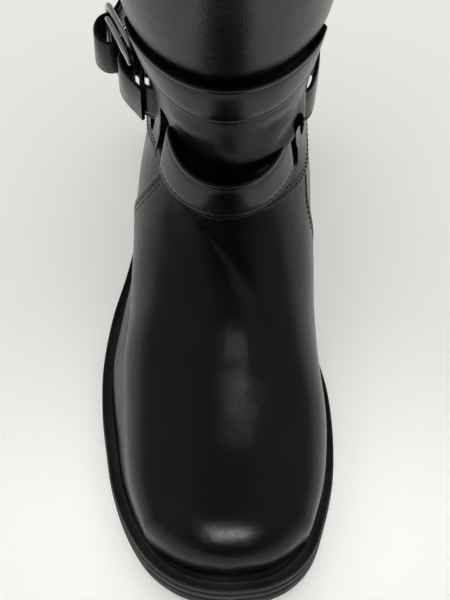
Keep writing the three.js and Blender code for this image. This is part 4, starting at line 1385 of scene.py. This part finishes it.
PLAIN_LOOKS = {
    # tone: noise scale, detail, dark, light; rough: scale, detail, roughness of the noise, low, high;
    # bump: scale, detail or None for grain, distance, strength; inputs: single values of the shader
    "welt_black": {
        "tone": (60, 4, (0.010, 0.0095, 0.0095), (0.02, 0.019, 0.018)),
        "rough": (90, 4, 0.5, 0.42, 0.58),
        "bump": (1500, 4, 0.0002, 0.3),
        "inputs": {"Specular IOR Level": 0.22},
    },
    "rubber_black": {
        "tone": (45, 5, (0.013, 0.0125, 0.0125), (0.024, 0.023, 0.022)),
        "rough": (70, 4, 0.5, 0.48, 0.64),
        "bump": (2200, 3, 0.00012, 0.35),
        "inputs": {"Specular IOR Level": 0.26},
    },
    "lining_black": {
        "tone": (120, 5, (0.012, 0.011, 0.011), (0.022, 0.02, 0.019)),
        "rough": (160, 4, 0.5, 0.6, 0.8),
        "bump": (1800, 4, 0.0003, 0.4),
        "inputs": {},
    },
    "insole_leather": {
        "tone": (80, 5, (0.02, 0.017, 0.015), (0.035, 0.03, 0.026)),
        "rough": (140, 4, 0.5, 0.5, 0.7),
        "bump": (900, None, 0.0002, 0.3),
        "inputs": {},
    },
    "thread_black": {
        "tone": (500, 3, (0.004, 0.0038, 0.0038), (0.009, 0.0085, 0.0085)),
        "rough": (900, 2, 0.5, 0.45, 0.6),
        "bump": (4000, 2, 0.0001, 0.5),
        "inputs": {},
    },
    "polished_steel": {
        "tone": (90, 4, (0.5, 0.5, 0.5), (0.66, 0.66, 0.665)),
        "rough": (260, 5, 0.7, 0.16, 0.3),
        "bump": (900, 3, 0.00008, 0.25),
        "inputs": {"Metallic": 1.0},
    },
}


def plain_look(name):
    """A look of the table: noise in its tone, its roughness and its bumps."""
    recipe = PLAIN_LOOKS[name]
    look, nodes, links, shader = new_look(name)
    place = object_place(nodes)
    fill(shader, recipe["inputs"])
    scale, detail, dark, light = recipe["tone"]
    tone = two_colours(nodes, links, noise(nodes, links, place, scale, detail), dark, light)
    links.new(tone, shader.inputs["Base Color"])
    scale, detail, speckle, low, high = recipe["rough"]
    polish = ranged(nodes, links, noise(nodes, links, place, scale, detail, speckle), low, high)
    links.new(polish, shader.inputs["Roughness"])
    scale, detail, distance, strength = recipe["bump"]
    if detail is None:
        height = grain_cells(nodes, links, place, scale)
    else:
        height = noise(nodes, links, place, scale, detail)
    links.new(bumped(nodes, links, height, distance, strength), shader.inputs["Normal"])
    return look


def floor_look():
    """A pale table that glows a little, which keeps the boot's shadow faint as in the photo."""
    look, nodes, links, shader = new_look("floor_pale")
    fill(shader, {
        "Base Color": (0.8, 0.792, 0.77, 1),
        "Roughness": 0.9,
        "Specular IOR Level": 0.05,
        "Emission Color": (1.0, 0.99, 0.965, 1),
        "Emission Strength": FLOOR_GLOW,
    })
    return look


# Set
FLOOR_HALF = 4.0  # in metres


def floor():
    mesh = bpy.data.meshes.new("floor")
    corners = [(x * FLOOR_HALF, y * FLOOR_HALF, 0) for x, y in ((-1, -1), (1, -1), (1, 1), (-1, 1))]
    mesh.from_pydata(corners, [], [(0, 1, 2, 3)])
    mesh.materials.append(floor_look())
    made = bpy.data.objects.new("floor", mesh)
    bpy.context.scene.collection.objects.link(made)


def soft_box(name, place, target, width, height, watts, spread, mirrored):
    lamp = bpy.data.lights.new(name, "AREA")
    lamp.shape = "RECTANGLE"
    lamp.size = width
    lamp.size_y = height
    lamp.energy = watts
    lamp.spread = math.radians(spread)
    made = bpy.data.objects.new(name, lamp)
    made.location = place
    made.rotation_euler = (Vector(target) - Vector(place)).to_track_quat("-Z", "Y").to_euler()
    made.visible_glossy = mirrored
    bpy.context.scene.collection.objects.link(made)


FLOOR_GLOW = 0.3
SKY = 0.35
SOFT_BOXES = [
    # name, place, aimed at, width, height, watts, spread, seen in reflections
    ("table_light", (0, -0.1, 2.2), (0, -0.1, 0), 2.6, 2.6, 31, 180, False),
    ("soft_front", (0, -0.62, 0.51), (0.004, -0.238, 0.05), 0.24, 0.05, 0.021, 14, True),
    ("soft_flex", (0.03, -0.17, 0.55), (0.015, -0.169, 0.07), 0.045, 0.03, 0.00034, 4, True),
]


def world_light():
    """A dim room: darker low in front and in a stripe overhead, as its reflections show."""
    world = bpy.data.worlds.new("studio")
    world.use_nodes = True
    nodes, links = world.node_tree.nodes, world.node_tree.links
    back = nodes["Background"]
    back.inputs["Color"].default_value = (1.0, 0.995, 0.985, 1)
    way = nodes.new("ShaderNodeTexCoord").outputs["Generated"]

    def toward(direction):
        dot = nodes.new("ShaderNodeVectorMath")
        dot.operation = "DOT_PRODUCT"
        dot.inputs[1].default_value = direction
        links.new(way, dot.inputs[0])
        return dot.outputs["Value"]

    def combined(operation, a, b):
        made = nodes.new("ShaderNodeMath")
        made.operation = operation
        links.new(a, made.inputs[0])
        links.new(b, made.inputs[1])
        return made.outputs["Value"]

    sideways = nodes.new("ShaderNodeMath")
    sideways.operation = "ABSOLUTE"
    links.new(toward((1, 0, 0)), sideways.inputs[0])
    stripe = ranged(nodes, links, sideways.outputs["Value"], 0.3, 1, 0.1, 0.3)
    front = ranged(nodes, links, toward((0, -0.91, 0.41)), 1, 0.12, 0.68, 0.93)
    strength = combined("MULTIPLY", stripe, front)
    links.new(ranged(nodes, links, strength, 0, SKY, 0, 1), back.inputs["Strength"])
    bpy.context.scene.world = world


CAMERA_PLACE = (0.00027, -0.73397, 1.12583)
CAMERA_TILT = 30  # degrees from straight down
CAMERA_LENS = 160.2
SENSOR = 36


def camera():
    data = bpy.data.cameras.new("photo_camera")
    data.sensor_fit = "VERTICAL"
    data.sensor_height = SENSOR
    data.lens = CAMERA_LENS
    data.clip_start = 0.05
    made = bpy.data.objects.new("photo_camera", data)
    made.location = CAMERA_PLACE
    made.rotation_euler = (math.radians(CAMERA_TILT), 0, 0)
    bpy.context.scene.collection.objects.link(made)
    bpy.context.scene.camera = made


def build():
    camera()
    world_light()
    for box in SOFT_BOXES:
        soft_box(*box)
    floor()
    glossy = leather_look("leather_black", 0.235, 0.3)
    strap_leather = leather_look("strap_black", 0.21, 0.14)
    lining = plain_look("lining_black")
    thread = plain_look("thread_black")
    steel = plain_look("polished_steel")
    rubber = plain_look("rubber_black")
    outsole(rubber)
    heel(rubber)
    welt(plain_look("welt_black"))
    insole(plain_look("insole_leather"))
    vamp([glossy, lining])
    quarter([glossy, lining])
    shaft([glossy, lining])
    upper_stitches(thread)
    upper_strap(strap_leather)
    _, grid = lower_strap(strap_leather)
    strap_stitches("stitches_strap_lower", grid, thread)
    ring("ring_outer_wire", 0, 0, steel, ["ring_outer"])
    ring("ring_inner_wire", RING_STEP[0], -RING_STEP[1], steel, ["ring_inner"])
    bpy.context.scene.view_settings.view_transform = "Standard"


build()
